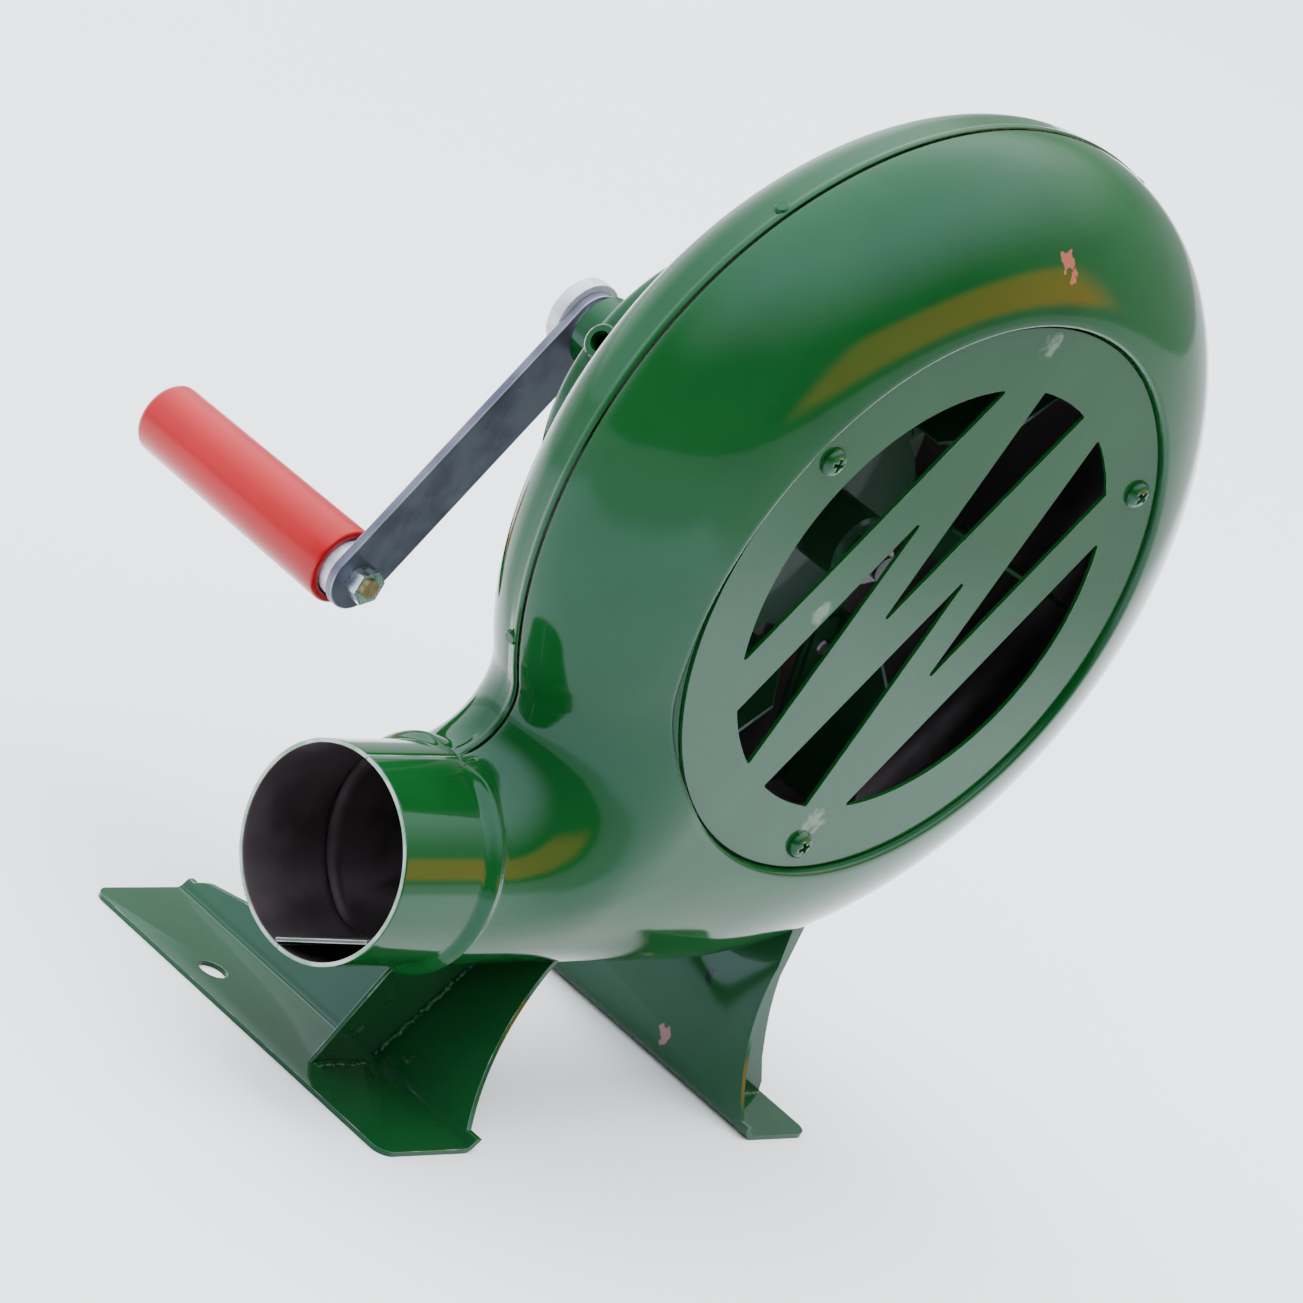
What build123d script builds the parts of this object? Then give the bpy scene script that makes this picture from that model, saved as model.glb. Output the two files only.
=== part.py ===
from build123d import *
from math import acos, asin, atan2, ceil, cos, degrees, hypot, pi, radians, sin, sqrt, tan
import os

# Hand-cranked centrifugal blower in pressed sheet steel.
# Everything is drawn in the fan's own frame (the fan axis is Y, the seam of the two
# shells is y = 0, the intake faces -Y, the outlet points to -X, the crank is at +Y)
# and moved into the bench frame at the end: origin midway between the two foot
# bolts, on the bench, +Z up.

os.makedirs("parts", exist_ok=True)

# ---------------------------------------------------------------- driving sizes, mm
# casing
SHEET = 1.2              # wall of both shells, the cover and the gear case
CASE_R = 132.6           # casing outline, main arc round the fan axis
MAIN_FROM = -30.0        # the main arc runs from here ...
MAIN_TO = 130.0          # ... to here, degrees from +X towards +Z
SCROLL_STEP = 14.0       # centre shift of the wider arc under the fan
TONGUE_STEP = 16.0       # centre shift of the tighter arc towards the outlet
NECK_R = 16.0            # hollow corner between casing and outlet
RIM_ARC = 27.0           # front shell, arc next to the seam
CREST_IN = 50.0          # front shell, distance of its crest inside the outline
FRONT_DEPTH = 38.4       # seam to crest
REAR_DEPTH = 22.5        # seam to flat back
REAR_ARC = 18.0          # edge radius of the rear shell

# outlet
PIPE_R = 31.5            # outside radius of the outlet
PIPE_LIFT = 0.4          # its underside above the casing's lowest line
MOUTH_TO_BEAD = 36.3     # open end to the raised ring that stops the hose
BEAD_SET = 3.3377       # ring to the foot of the hollow corner
BEAD_RISE = 2.3
BEAD_ROUND = 3.2
BEAD_SWEEP = 160.0       # the ring fades out next to the seam
ROOT_TUCK = 0.8          # the pipe is this much slimmer behind the ring's near edge
FAIRING_LENGTH = 78.0    # ring to where the rear bulge of the outlet has died away
STRIP_TURN = 31.8        # throat strip, turned from straight down towards the intake
STRIP_IN = 24.9          # its outer face, from the pipe axis
STRIP_LENGTH = 33.0

# intake cover and its seat
COVER_SET_IN = 43.3      # rim of the cover inside the casing's main arc
COVER_GAP = 1.0          # play round the cover in its seat
COVER_FACE = 35.9        # seam to the cover's outer face
SEAT_WIDTH = 14.8        # the cover overlaps the intake opening by this
GRILLE_SET_IN = 5.1      # opened disc of the cover, inside the intake opening
TIP_ROUND = 0.8          # rounded ends of the grille slots
SCREW_SET_IN = 7.7       # screws, inside the cover's rim
SCREW_ANGLES = (148.4, 28.4, -91.6)
SCREW_R = 2.0            # M4
SCREW_HEAD_R = 4.3
SCREW_HEAD_H = 2.6
SCREW_LENGTH = 9.0
HOLE_PLAY = 0.1          # hole radius over screw radius

# seam rivets
RIVET_ANGLES = (132.0, 64.0, -4.0, -62.0, 206.0)
RIVET_HEAD_R = 2.3
RIVET_HEAD_H = 1.0
RIVET_SEAM_GAP = 3.0     # rivet centre behind the seam

# feet
STAND = 40.4             # bench below the casing's lowest line
FOOT_SHEET = 1.6
FOOT_BEND_R = 3.0        # inside radius of the bend
FOOT_NEAR_Y = -44.0
FOOT_FAR_Y = 91.0
LEFT_FOLD_X = -92.0      # foot under the outlet
LEFT_FLANGE = 36.0
LEFT_LEAN = 36.5         # its upright leans towards the casing, degrees
RIGHT_FOLD_X = 28.0      # foot under the casing
RIGHT_FLANGE = 30.0
FOOT_HOLE_R = 4.5        # M8 clearance
LEFT_HOLE_X = -116.0
RIGHT_HOLE_X = 44.0
FOOT_HOLE_Y = 48.0
FOOT_CORNER_R = 5.0
LEFT_WAIST_IN = 15.5     # left upright, hollow of its near edge: in from the flange's end ...
LEFT_WAIST_UP = 18.0     # ... and above the bench
LEFT_TOP_IN = 26.0       # the same edge, top of the hollow
LEFT_TOP_UP = 45.0
RIGHT_WAIST_IN = 13.0    # right upright, the same
RIGHT_WAIST_UP = 24.0
RIGHT_TOP_IN = 16.0
RIGHT_TOP_UP = 50.0
FAR_TOP_IN = 69.0        # far edge of both uprights: in from the flange's far end
FAR_TOP_UP = 50.0
FAR_WAIST_IN = 58.0
FAR_WAIST_UP = 24.0
FAR_LOW_IN = 31.0
FAR_LOW_UP = 11.0
TONGUE_IN = 8.0          # flat tongue left at the far end
TONGUE_UP = 7.0
UPRIGHT_TOP = 70.0       # blank height before it is coped to the casing
WELD_GAP = 0.05          # between a coped edge and the sheet it is welded to
LEFT_GUSSET_Y = 0.0
LEFT_GUSSET_SET_IN = 10.0    # gusset foot, in from the flange edge
LEFT_GUSSET_TOP_X = -97.0
RIGHT_GUSSET_Y = -22.0
RIGHT_GUSSET_TOP_X = 40.0
RIGHT_GUSSET_MID_X = 46.5
RIGHT_GUSSET_MID_UP = 23.0
RIGHT_GUSSET_TOP_UP = 43.0
GUSSET_SHEET = 1.5

# gear case
CASE_X = -22.8           # its centre
CASE_Z = 11.1
GEAR_CASE_R = 53.0
GEAR_CASE_Y = 58.0       # outer face
GEAR_CASE_ROUND = 4.0
FLANGE_W = 10.0          # rim of the gear cover past its wall
DOME_R = 36.0
DOME_TOP_R = 30.0
DOME_Y = 66.0
PLATE_T = 2.0            # backing plate and gear plate
BACKING_OVER = 3.0       # backing plate past the gear cover's rim
BOLT_OUT = 5.4           # bolts, outside the gear cover's wall
BOLT_ANGLES = (-44.3, 75.7, 195.7)
BOLT_R = 2.5             # M5
BOLT_HEAD_R = 4.6
BOLT_HEAD_H = 3.0
BOLT_NUT_AF = 8.0
BOLT_NUT_H = 4.0
BOLT_END = 1.6           # thread showing past the nut
EYELET_ANGLE = 160.0
EYELET_Y = 51.5
EYELET_R = 5.4
EYELET_HOLE_R = 3.1
EYELET_RISE = 1.8

# gear train
MODULE = 1.0
PRESSURE = 20.0
CRANK_TEETH = 60
IDLER_PINION_TEETH = 12
IDLER_TEETH = 40
FAN_TEETH = 12
GEAR_TIP = 0.75          # addendum of the two wheels, in modules
PINION_TIP = 1.0         # addendum of the two pinions, in modules
TOOTH_ROOT = 1.2         # dedendum, in modules
BACKLASH = 0.16          # taken off each tooth
CRANK_X = -38.0          # crank axis
CRANK_Z = 18.0
LOW_GEAR_Y = 29.0        # idler wheel and fan pinion
HIGH_GEAR_Y = 39.0       # crank wheel and idler pinion
GEAR_FACE = 6.0
PINION_OVER = 0.8        # a pinion is this much wider each side
RUN = 0.05               # radial running clearance of every journal
END_PLAY = 0.3

# shafts and bushes
FAN_SHAFT_R = 4.0
FAN_PINION_SEAT_R = 3.0
FAN_SHAFT_FRONT = -19.0
FAN_BUSH_R = 8.0
FAN_BUSH_FRONT = 12.5
FAN_BUSH_FLANGE_R = 11.0
BUSH_FLANGE_T = 1.8
IDLER_POST_R = 3.0
IDLER_HUB_R = 5.5
CRANK_SHAFT_R = 5.0
CRANK_HUB_R = 9.0
CRANK_BUSH_R = 8.5
CRANK_BUSH_FLANGE_R = 11.5
CRANK_BUSH_END = 82.0
CRANK_FOOT_END = 30.0    # inner crank bush, end face

# fan
FAN_CLEAR = 36.6         # paddle tips to the casing's main arc
FAN_BLADES = 6
BLADE_ROOT_R = 34.0
BLADE_T = 1.2
BLADE_FRONT = -20.0
SPIDER_Y = 7.0
SPIDER_T = 1.5
SPIDER_R = 34.0
SPIDER_ARM = 13.0
FAN_HUB_R = 11.0
FAN_HUB_FRONT = -9.0
FAN_NUT_AF = 13.0
FAN_NUT_H = 6.0
FAN_RIVET_R = 2.6
FAN_RIVET_H = 1.0
BLADE_LIP = 10.0         # foot of a blade, bent flat on its arm

# crank
GRIP_X = -86.5           # crank pin axis
GRIP_Z = -69.0
ARM_Y = 84.0             # inner face of the arm
ARM_T = 3.0
ARM_W = 20.0
HUB_R = 12.0
HUB_T = 5.0
COLLAR_R = 8.0           # thrust washer in one piece with the shaft
PIN_R = 3.0              # M6 bolt
PIN_NUT_AF = 10.0
PIN_NUT_H = 5.0
PIN_HEAD_R = 5.5
PIN_HEAD_H = 4.0
SLEEVE_R = 9.0
SLEEVE_T = 8.0
GRIP_GAP = 3.5           # arm to the grip's near end
GRIP_LENGTH = 86.0
GRIP_R = 12.0
GRIP_WAIST = 0.7         # the barrel is this much slimmer at its far end
GRIP_ROUND = 3.0
GRIP_BORE_PLAY = 0.4
SLEEVE_PLAY = 0.5
GRIP_RECESS = 6.0        # bolt head below the far end

# ---------------------------------------------------------------- worked-out places
SCROLL_R = CASE_R + SCROLL_STEP
SCROLL_X = -SCROLL_STEP * cos(radians(MAIN_FROM))
SCROLL_Z = -SCROLL_STEP * sin(radians(MAIN_FROM))
LOWEST_Z = SCROLL_Z - SCROLL_R
PIPE_BOTTOM = LOWEST_Z + PIPE_LIFT
PIPE_Z = PIPE_BOTTOM + PIPE_R
PIPE_TOP = PIPE_Z + PIPE_R
TONGUE_R = CASE_R - TONGUE_STEP
TONGUE_X = TONGUE_STEP * cos(radians(MAIN_TO))
TONGUE_Z = TONGUE_STEP * sin(radians(MAIN_TO))
NECK_Z = PIPE_TOP + NECK_R
NECK_X = TONGUE_X - sqrt((TONGUE_R + NECK_R) ** 2 - (TONGUE_Z - NECK_Z) ** 2)
TONGUE_TO = 180 + degrees(atan2(TONGUE_Z - NECK_Z, TONGUE_X - NECK_X))
BEAD_X = NECK_X + BEAD_SET
MOUTH_X = BEAD_X - MOUTH_TO_BEAD
BEAD_EDGE_X = BEAD_X - sqrt(BEAD_ROUND ** 2 - (BEAD_ROUND - BEAD_RISE) ** 2)
FAIRING_END_X = BEAD_X + FAIRING_LENGTH
COVER_R = CASE_R - COVER_SET_IN
INTAKE_R = COVER_R - SEAT_WIDTH
GRILLE_R = INTAKE_R - GRILLE_SET_IN
SCREW_CIRCLE_R = COVER_R - SCREW_SET_IN
FAN_R = CASE_R - FAN_CLEAR
FLANGE_R = GEAR_CASE_R + FLANGE_W
BACKING_R = FLANGE_R + BACKING_OVER
BOLT_CIRCLE_R = GEAR_CASE_R + BOLT_OUT
FACE_ARC = (CREST_IN ** 2 - 2 * CREST_IN * RIM_ARC + FRONT_DEPTH ** 2) / (2 * (FRONT_DEPTH - RIM_ARC))
SEAT_Y = -(COVER_FACE - SHEET)
BACK_Y = REAR_DEPTH
BACKING_Y = BACK_Y - SHEET - PLATE_T
GEAR_PLATE_TOP = BACK_Y + PLATE_T
BENCH_Z = LOWEST_Z - STAND
CRANK_WHEEL_R = MODULE * CRANK_TEETH / 2
IDLER_PINION_R = MODULE * IDLER_PINION_TEETH / 2
IDLER_WHEEL_R = MODULE * IDLER_TEETH / 2
FAN_PINION_R = MODULE * FAN_TEETH / 2
CRANK_TO_IDLER = CRANK_WHEEL_R + IDLER_PINION_R
IDLER_TO_FAN = IDLER_WHEEL_R + FAN_PINION_R
CRANK_TO_FAN = hypot(CRANK_X, CRANK_Z)
CRANK_CORNER = acos((CRANK_TO_IDLER ** 2 + CRANK_TO_FAN ** 2 - IDLER_TO_FAN ** 2)
                    / (2 * CRANK_TO_IDLER * CRANK_TO_FAN))
IDLER_BEARING = atan2(-CRANK_Z, -CRANK_X) + CRANK_CORNER
IDLER_X = CRANK_X + CRANK_TO_IDLER * cos(IDLER_BEARING)
IDLER_Z = CRANK_Z + CRANK_TO_IDLER * sin(IDLER_BEARING)
IDLER_TO_FAN_BEARING = atan2(-IDLER_Z, -IDLER_X)
ORIGIN_X = (LEFT_HOLE_X + RIGHT_HOLE_X) / 2
BENCH_FRAME = Location((-ORIGIN_X, -FOOT_HOLE_Y, -BENCH_Z))


# ---------------------------------------------------------------- drawing helpers
def face_plane(y):
    """Drawing plane at a given y: sketch x is X, sketch y is Z, extrusion goes to -Y."""
    return Plane(origin=(0, y, 0), x_dir=(1, 0, 0), z_dir=(0, -1, 0))


def slab(sketch, y0, y1):
    """A flat outline made solid from y0 to y1."""
    return extrude(face_plane(y1) * sketch, amount=y1 - y0, dir=(0, -1, 0))


def rod(radius, y0, y1, x=0.0, z=0.0):
    return slab(Pos(x, z) * Circle(radius), y0, y1)


def tube(radius, bore, y0, y1, x=0.0, z=0.0):
    return slab(Pos(x, z) * (Circle(radius) - Circle(bore)), y0, y1)


def hex_nut(across, bore, y0, y1, x=0.0, z=0.0, turn=0.0):
    outline = Rot(0, 0, turn) * RegularPolygon(across / 2, 6, major_radius=False)
    return slab(Pos(x, z) * (outline - Circle(bore)), y0, y1)


def on_circle(radius, angle, x=0.0, z=0.0):
    """Point at an angle, degrees from +X towards +Z."""
    return x + radius * cos(radians(angle)), z + radius * sin(radians(angle))


def arc_mid(centre, radius, start, end):
    """Middle point of an arc, from its centre and its two ends."""
    a0 = atan2(start[1] - centre[1], start[0] - centre[0])
    a1 = atan2(end[1] - centre[1], end[0] - centre[0])
    turn = (a1 - a0 + pi) % (2 * pi) - pi
    middle = a0 + turn / 2
    return centre[0] + radius * cos(middle), centre[1] + radius * sin(middle)


# ---------------------------------------------------------------- casing halves
def front_rim(inset):
    """Front section: d inwards from the outline, h away from the seam, as edges."""
    rim = (RIM_ARC, 0.0)
    face = (CREST_IN, FRONT_DEPTH - FACE_ARC)
    away = hypot(rim[0] - face[0], rim[1] - face[1])
    out = ((rim[0] - face[0]) / away, (rim[1] - face[1]) / away)
    rim_r = RIM_ARC - inset
    face_r = FACE_ARC - inset
    start = (inset, 0.0)
    joint = (rim[0] + rim_r * out[0], rim[1] + rim_r * out[1])
    crest = (CREST_IN, FRONT_DEPTH - inset)
    return [(start, arc_mid(rim, rim_r, start, joint), joint),
            (joint, arc_mid(face, face_r, joint, crest), crest)]


def rear_rim(inset):
    """Rear section, drawn the same way: a short wall, then one edge radius."""
    wall = REAR_DEPTH - REAR_ARC
    centre = (REAR_ARC, wall)
    start = (inset, wall)
    crest = (REAR_ARC, REAR_DEPTH - inset)
    return [((inset, 0.0), start), (start, arc_mid(centre, REAR_ARC - inset, start, crest), crest)]


def section_face(rim, side, reach, place):
    """Closed section from the seam to the crest and on to a reach; place puts d on the sketch."""
    def put(point):
        return (place(point[0]), side * point[1])
    edges = []
    for piece in rim:
        points = [put(p) for p in piece]
        edges.append(Line(*points) if len(points) == 2 else ThreePointArc(*points))
    first = rim[0][0]
    last = rim[-1][-1]
    edges.append(Line(put(last), put((reach, last[1]))))
    edges.append(Line(put((reach, last[1])), put((reach, 0.0))))
    edges.append(Line(put((reach, 0.0)), put(first)))
    return make_face(edges)


def sector(face, x, z, start, end):
    """A section in the XY plane turned round a vertical-in-sketch axis at (x, z)."""
    body = revolve(face, Axis.Y, end - start)
    return Pos(x, 0, z) * Rot(0, -end, 0) * body


def half_casing(side, inset):
    """Outer form of one casing half, or its hollow when inset by the sheet."""
    rim = front_rim(inset) if side < 0 else rear_rim(inset)
    crest_in, crest_h = rim[-1][-1]

    def round_part(radius, x, z, start, end):
        return sector(section_face(rim, side, radius, lambda d: radius - d), x, z, start, end)

    body = round_part(CASE_R, 0, 0, MAIN_FROM, MAIN_TO)
    body += round_part(SCROLL_R, SCROLL_X, SCROLL_Z, -90, MAIN_FROM)
    body += round_part(TONGUE_R, TONGUE_X, TONGUE_Z, MAIN_TO, TONGUE_TO)
    core_r = TONGUE_R - CREST_IN
    body += rod(core_r, min(0, side * crest_h), max(0, side * crest_h), TONGUE_X, TONGUE_Z)

    # neck: bounded above by the hollow corner, below by the scroll's straight floor
    reach = CREST_IN + NECK_R
    corner = section_face(rim, side, reach, lambda d: NECK_R + d)
    neck = sector(corner, NECK_X, NECK_Z, -90, TONGUE_TO - 180)
    tongue_end = on_circle(TONGUE_R, TONGUE_TO, TONGUE_X, TONGUE_Z)
    floor = SCROLL_Z - SCROLL_R
    block = Polygon((SCROLL_X, floor), (SCROLL_X, SCROLL_Z), (TONGUE_X, TONGUE_Z), tongue_end,
                    (BEAD_X, tongue_end[1]), (BEAD_X, floor), align=None)
    block -= Pos(NECK_X, NECK_Z) * Circle(NECK_R + crest_in)
    neck += slab(block, min(0, side * crest_h), max(0, side * crest_h))
    floor_face = Plane.YZ * section_face_floor(rim, side, floor)
    trough = extrude(floor_face, amount=SCROLL_X - BEAD_X)
    neck = neck & (Pos(BEAD_X, 0, 0) * trough)
    body += neck
    body += outlet_half(side, inset)
    return body


def section_face_floor(rim, side, floor):
    """Section of the neck's floor for the YZ plane: first number is y, second is z."""
    edges = []
    for piece in rim:
        points = [(side * h, floor + d) for d, h in piece]
        edges.append(Line(*points) if len(points) == 2 else ThreePointArc(*points))
    first = (side * rim[0][0][1], floor + rim[0][0][0])
    last = (side * rim[-1][-1][1], floor + rim[-1][-1][0])
    top = -floor
    edges.append(Line(last, (last[0], top)))
    edges.append(Line((last[0], top), (0.0, top)))
    edges.append(Line((0.0, top), first))
    return make_face(edges)


def half_disc(radius, depth, side):
    """Half of an ellipse in the YZ plane: radius up and down, depth to one side."""
    whole = Ellipse(depth, radius) if depth < radius - 1e-6 else Circle(radius)
    keep = Pos(side * radius, 0) * Rectangle(2 * radius, 4 * radius)
    return whole & keep


def outlet_half(side, inset):
    """Half of the round outlet; at the back it also fairs into the flat rear wall."""
    radius = PIPE_R - inset
    into_neck = 6.0
    start = Plane(origin=(MOUTH_X, 0, PIPE_Z), x_dir=(0, 1, 0), z_dir=(1, 0, 0))
    pipe = extrude(start * half_disc(radius, radius, side), amount=BEAD_EDGE_X - MOUTH_X)
    # the root is a little slimmer, so a hose seats on the free length only
    edge = Plane(origin=(BEAD_EDGE_X, 0, PIPE_Z), x_dir=(0, 1, 0), z_dir=(1, 0, 0))
    radius -= ROOT_TUCK
    root_length = BEAD_X + into_neck - BEAD_EDGE_X
    pipe += extrude(edge * half_disc(radius, radius, side), amount=root_length)
    if side > 0:
        near = Plane(origin=(BEAD_X, 0, PIPE_Z), x_dir=(0, 1, 0), z_dir=(1, 0, 0))
        far = Plane(origin=(FAIRING_END_X, 0, PIPE_Z), x_dir=(0, 1, 0), z_dir=(1, 0, 0))
        flush = REAR_DEPTH - inset - 0.2
        pipe += loft([near * half_disc(radius, radius, side), far * half_disc(radius, flush, side)])
    return pipe


def bead_half(side):
    """Half of the raised ring round the outlet."""
    mid_r = PIPE_R + BEAD_RISE - BEAD_ROUND
    base_r = PIPE_R - ROOT_TUCK - SHEET / 2
    bump = Pos(0, mid_r) * Circle(BEAD_ROUND)
    bump -= Pos(0, base_r - BEAD_ROUND) * Rectangle(4 * BEAD_ROUND, 2 * BEAD_ROUND)
    ring = revolve(Plane.XY * bump, Axis.X, BEAD_SWEEP)
    # the sketch starts towards +Y and turns round X towards +Z
    first = -BEAD_SWEEP / 2 if side > 0 else 180 - BEAD_SWEEP / 2
    return Pos(BEAD_X, 0, PIPE_Z) * Rot(first, 0, 0) * ring


FRONT_FORM = half_casing(-1, 0.0)
REAR_FORM = half_casing(1, 0.0)


def front_shell():
    seat_r = COVER_R + COVER_GAP
    deep = -2 * FRONT_DEPTH
    form = FRONT_FORM + bead_half(-1) - rod(seat_r, deep, SEAT_Y)
    hollow = half_casing(-1, SHEET) - rod(seat_r + SHEET, deep, SEAT_Y + SHEET)
    shell = form - hollow - rod(INTAKE_R, deep, 0)
    for angle in SCREW_ANGLES:
        x, z = on_circle(SCREW_CIRCLE_R, angle)
        shell -= rod(SCREW_R + HOLE_PLAY, deep, 0, x, z)
    return shell


def rear_shell():
    shell = REAR_FORM + bead_half(1) - half_casing(1, SHEET)
    shell -= rod(FAN_BUSH_R, 0, 2 * REAR_DEPTH)
    for angle in BOLT_ANGLES:
        x, z = on_circle(BOLT_CIRCLE_R, angle, CASE_X, CASE_Z)
        shell -= rod(BOLT_R + HOLE_PLAY, 0, 2 * REAR_DEPTH, x, z)
    return shell


# ---------------------------------------------------------------- intake cover
def grille_slots():
    """Six slots of the cover: two round-backed ends and four long wedges between them."""
    slots = []
    disc = Circle(GRILLE_R)
    big = 2 * GRILLE_R
    # a chord cuts off the first slot, wedges point alternately down and up
    chord = (-161.3, 97.8)
    wedges = [(-147.1, -127.2, (-17.0, 29.2)), (83.9, 63.8, (-15.2, -10.7))]
    a = on_circle(GRILLE_R, chord[0])
    b = on_circle(GRILLE_R, chord[1])
    outward = radians((chord[0] + 360 + chord[1]) / 2)
    away = (big * cos(outward), big * sin(outward))
    end = Polygon(a, b, (b[0] + away[0], b[1] + away[1]), (a[0] + away[0], a[1] + away[1]), align=None)
    slots.append(disc & end)
    for first, second, tip in wedges:
        a = on_circle(big, first)
        b = on_circle(big, second)
        near_a = on_circle(GRILLE_R, first)
        near_b = on_circle(GRILLE_R, second)
        wedge = Polygon(tip, near_a, a, b, near_b, align=None)
        slots.append(disc & wedge)
    slots += [Rot(0, 0, 180) * slot for slot in list(slots)]
    return [fillet(slot.vertices(), TIP_ROUND) for slot in slots]


def intake_cover():
    cover = slab(Circle(COVER_R), -COVER_FACE, SEAT_Y)
    for slot in grille_slots():
        cover -= slab(slot, -2 * COVER_FACE, 0)
    for angle in SCREW_ANGLES:
        x, z = on_circle(SCREW_CIRCLE_R, angle)
        cover -= rod(SCREW_R + HOLE_PLAY, -2 * COVER_FACE, 0, x, z)
    return cover


def cover_screw(angle):
    x, z = on_circle(SCREW_CIRCLE_R, angle)
    top = -COVER_FACE - SCREW_HEAD_H
    head = rod(SCREW_HEAD_R, top, -COVER_FACE, x, z)
    head = chamfer(head.edges().group_by(Axis.Y)[0], SCREW_HEAD_H * 0.4)
    shank = rod(SCREW_R, -COVER_FACE, -COVER_FACE + SCREW_LENGTH, x, z)
    return head + shank


def throat_strip():
    """Flat strip inside the mouth, lying as a chord across its lower intake side."""
    inner = PIPE_R - SHEET
    width = 2 * (sqrt(inner ** 2 - STRIP_IN ** 2) - HOLE_PLAY)
    strip = Pos(STRIP_LENGTH / 2, 0, -(STRIP_IN - SHEET / 2)) * Box(STRIP_LENGTH, width, SHEET)
    return Pos(MOUTH_X, 0, PIPE_Z) * Rot(-STRIP_TURN, 0, 0) * strip


def seam_rivet(angle):
    """Low domed head on the rear shell's wall, close behind the seam."""
    if angle < MAIN_FROM:
        radius, x, z = SCROLL_R, SCROLL_X, SCROLL_Z
    elif angle > MAIN_TO:
        radius, x, z = TONGUE_R, TONGUE_X, TONGUE_Z
    else:
        radius, x, z = CASE_R, 0.0, 0.0
    head = extrude(Plane.YZ * Circle(RIVET_HEAD_R), amount=RIVET_HEAD_H)
    head = chamfer(head.edges().group_by(Axis.X)[-1], RIVET_HEAD_H * 0.6)
    seat = radius + WELD_GAP
    return Pos(x, RIVET_SEAM_GAP, z) * Rot(0, -angle, 0) * Pos(seat, 0, 0) * head


# ---------------------------------------------------------------- feet and gussets
def upright_outline(side):
    """Outline of a foot's upright: first number is y, second is height above the bench."""
    if side < 0:
        near_waist = (FOOT_NEAR_Y + LEFT_WAIST_IN, LEFT_WAIST_UP)
        near_top = (FOOT_NEAR_Y + LEFT_TOP_IN, LEFT_TOP_UP)
    else:
        near_waist = (FOOT_NEAR_Y + RIGHT_WAIST_IN, RIGHT_WAIST_UP)
        near_top = (FOOT_NEAR_Y + RIGHT_TOP_IN, RIGHT_TOP_UP)
    far_low = (FOOT_FAR_Y - TONGUE_IN, TONGUE_UP)
    far_mid = (FOOT_FAR_Y - FAR_LOW_IN, FAR_LOW_UP)
    far_waist = (FOOT_FAR_Y - FAR_WAIST_IN, FAR_WAIST_UP)
    far_top = (FOOT_FAR_Y - FAR_TOP_IN, FAR_TOP_UP)
    tongue_mid = (FOOT_FAR_Y - 0.3 * TONGUE_IN, 0.63 * TONGUE_UP)
    top = UPRIGHT_TOP
    edges = [ThreePointArc((FOOT_NEAR_Y, 0.0), near_waist, near_top),
             Line(near_top, (near_top[0] + 2, top)),
             Line((near_top[0] + 2, top), (far_top[0], top)),
             Line((far_top[0], top), far_top),
             ThreePointArc(far_top, far_waist, far_mid),
             Line(far_mid, far_low),
             ThreePointArc(far_low, tongue_mid, (FOOT_FAR_Y, 0.0)),
             Line((FOOT_FAR_Y, 0.0), (FOOT_NEAR_Y, 0.0))]
    outline = make_face(edges)
    bend = FOOT_BEND_R + FOOT_SHEET
    length = FOOT_FAR_Y - FOOT_NEAR_Y
    return outline + Pos((FOOT_FAR_Y + FOOT_NEAR_Y) / 2, bend / 2) * Rectangle(length, bend)


def bent_foot(fold_x, side, flange, lean, hole_x):
    """One foot: flange on the bench, bend, upright. side is where the flange points."""
    t = FOOT_SHEET
    lean_sin = sin(radians(lean))
    lean_cos = cos(radians(lean))
    rise = 1.2 * UPRIGHT_TOP
    inner = t * (1 - lean_sin) / lean_cos
    # section with the fold at the origin, flange towards -X, upright leaning to +X
    points = [(-flange, 0), (0, 0), (rise * lean_sin, rise * lean_cos),
              (rise * lean_sin - t * lean_cos, rise * lean_cos + t * lean_sin),
              (inner * lean_sin - t * lean_cos, t), (-flange, t)]
    section = Polygon(*points, align=None)
    corners = section.vertices()
    outside = [v for v in corners if hypot(v.X, v.Y) < 0.01]
    section = fillet(outside, FOOT_BEND_R + t)
    inside = [v for v in section.vertices()
              if hypot(v.X - points[4][0], v.Y - points[4][1]) < 0.01]
    section = fillet(inside, FOOT_BEND_R)
    if side > 0:
        section = mirror(section, Plane.YZ)
    foot = slab(Pos(fold_x, BENCH_Z) * section, FOOT_NEAR_Y, FOOT_FAR_Y)
    reach = 2 * UPRIGHT_TOP
    blank = Pos(fold_x - reach / 2, 0, BENCH_Z) * extrude(Plane.YZ * upright_outline(side), amount=reach)
    foot = foot & blank
    middle = (FOOT_FAR_Y + FOOT_NEAR_Y) / 2
    plan = RectangleRounded(2 * flange, FOOT_FAR_Y - FOOT_NEAR_Y, FOOT_CORNER_R)
    plan += Pos(-side * rise / 2, 0) * Rectangle(rise, FOOT_FAR_Y - FOOT_NEAR_Y)
    foot = foot & (Pos(fold_x, middle, BENCH_Z) * extrude(plan, amount=2 * rise))
    return foot - Pos(hole_x, FOOT_HOLE_Y, BENCH_Z) * Cylinder(FOOT_HOLE_R, 4 * t)


def cope(sheet):
    """Trim a sheet to the casing's underside and keep the part below it."""
    trimmed = sheet - FRONT_FORM - REAR_FORM
    return max(trimmed.solids(), key=lambda s: s.volume)


def left_foot():
    return cope(bent_foot(LEFT_FOLD_X, -1, LEFT_FLANGE, LEFT_LEAN, LEFT_HOLE_X))


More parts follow.
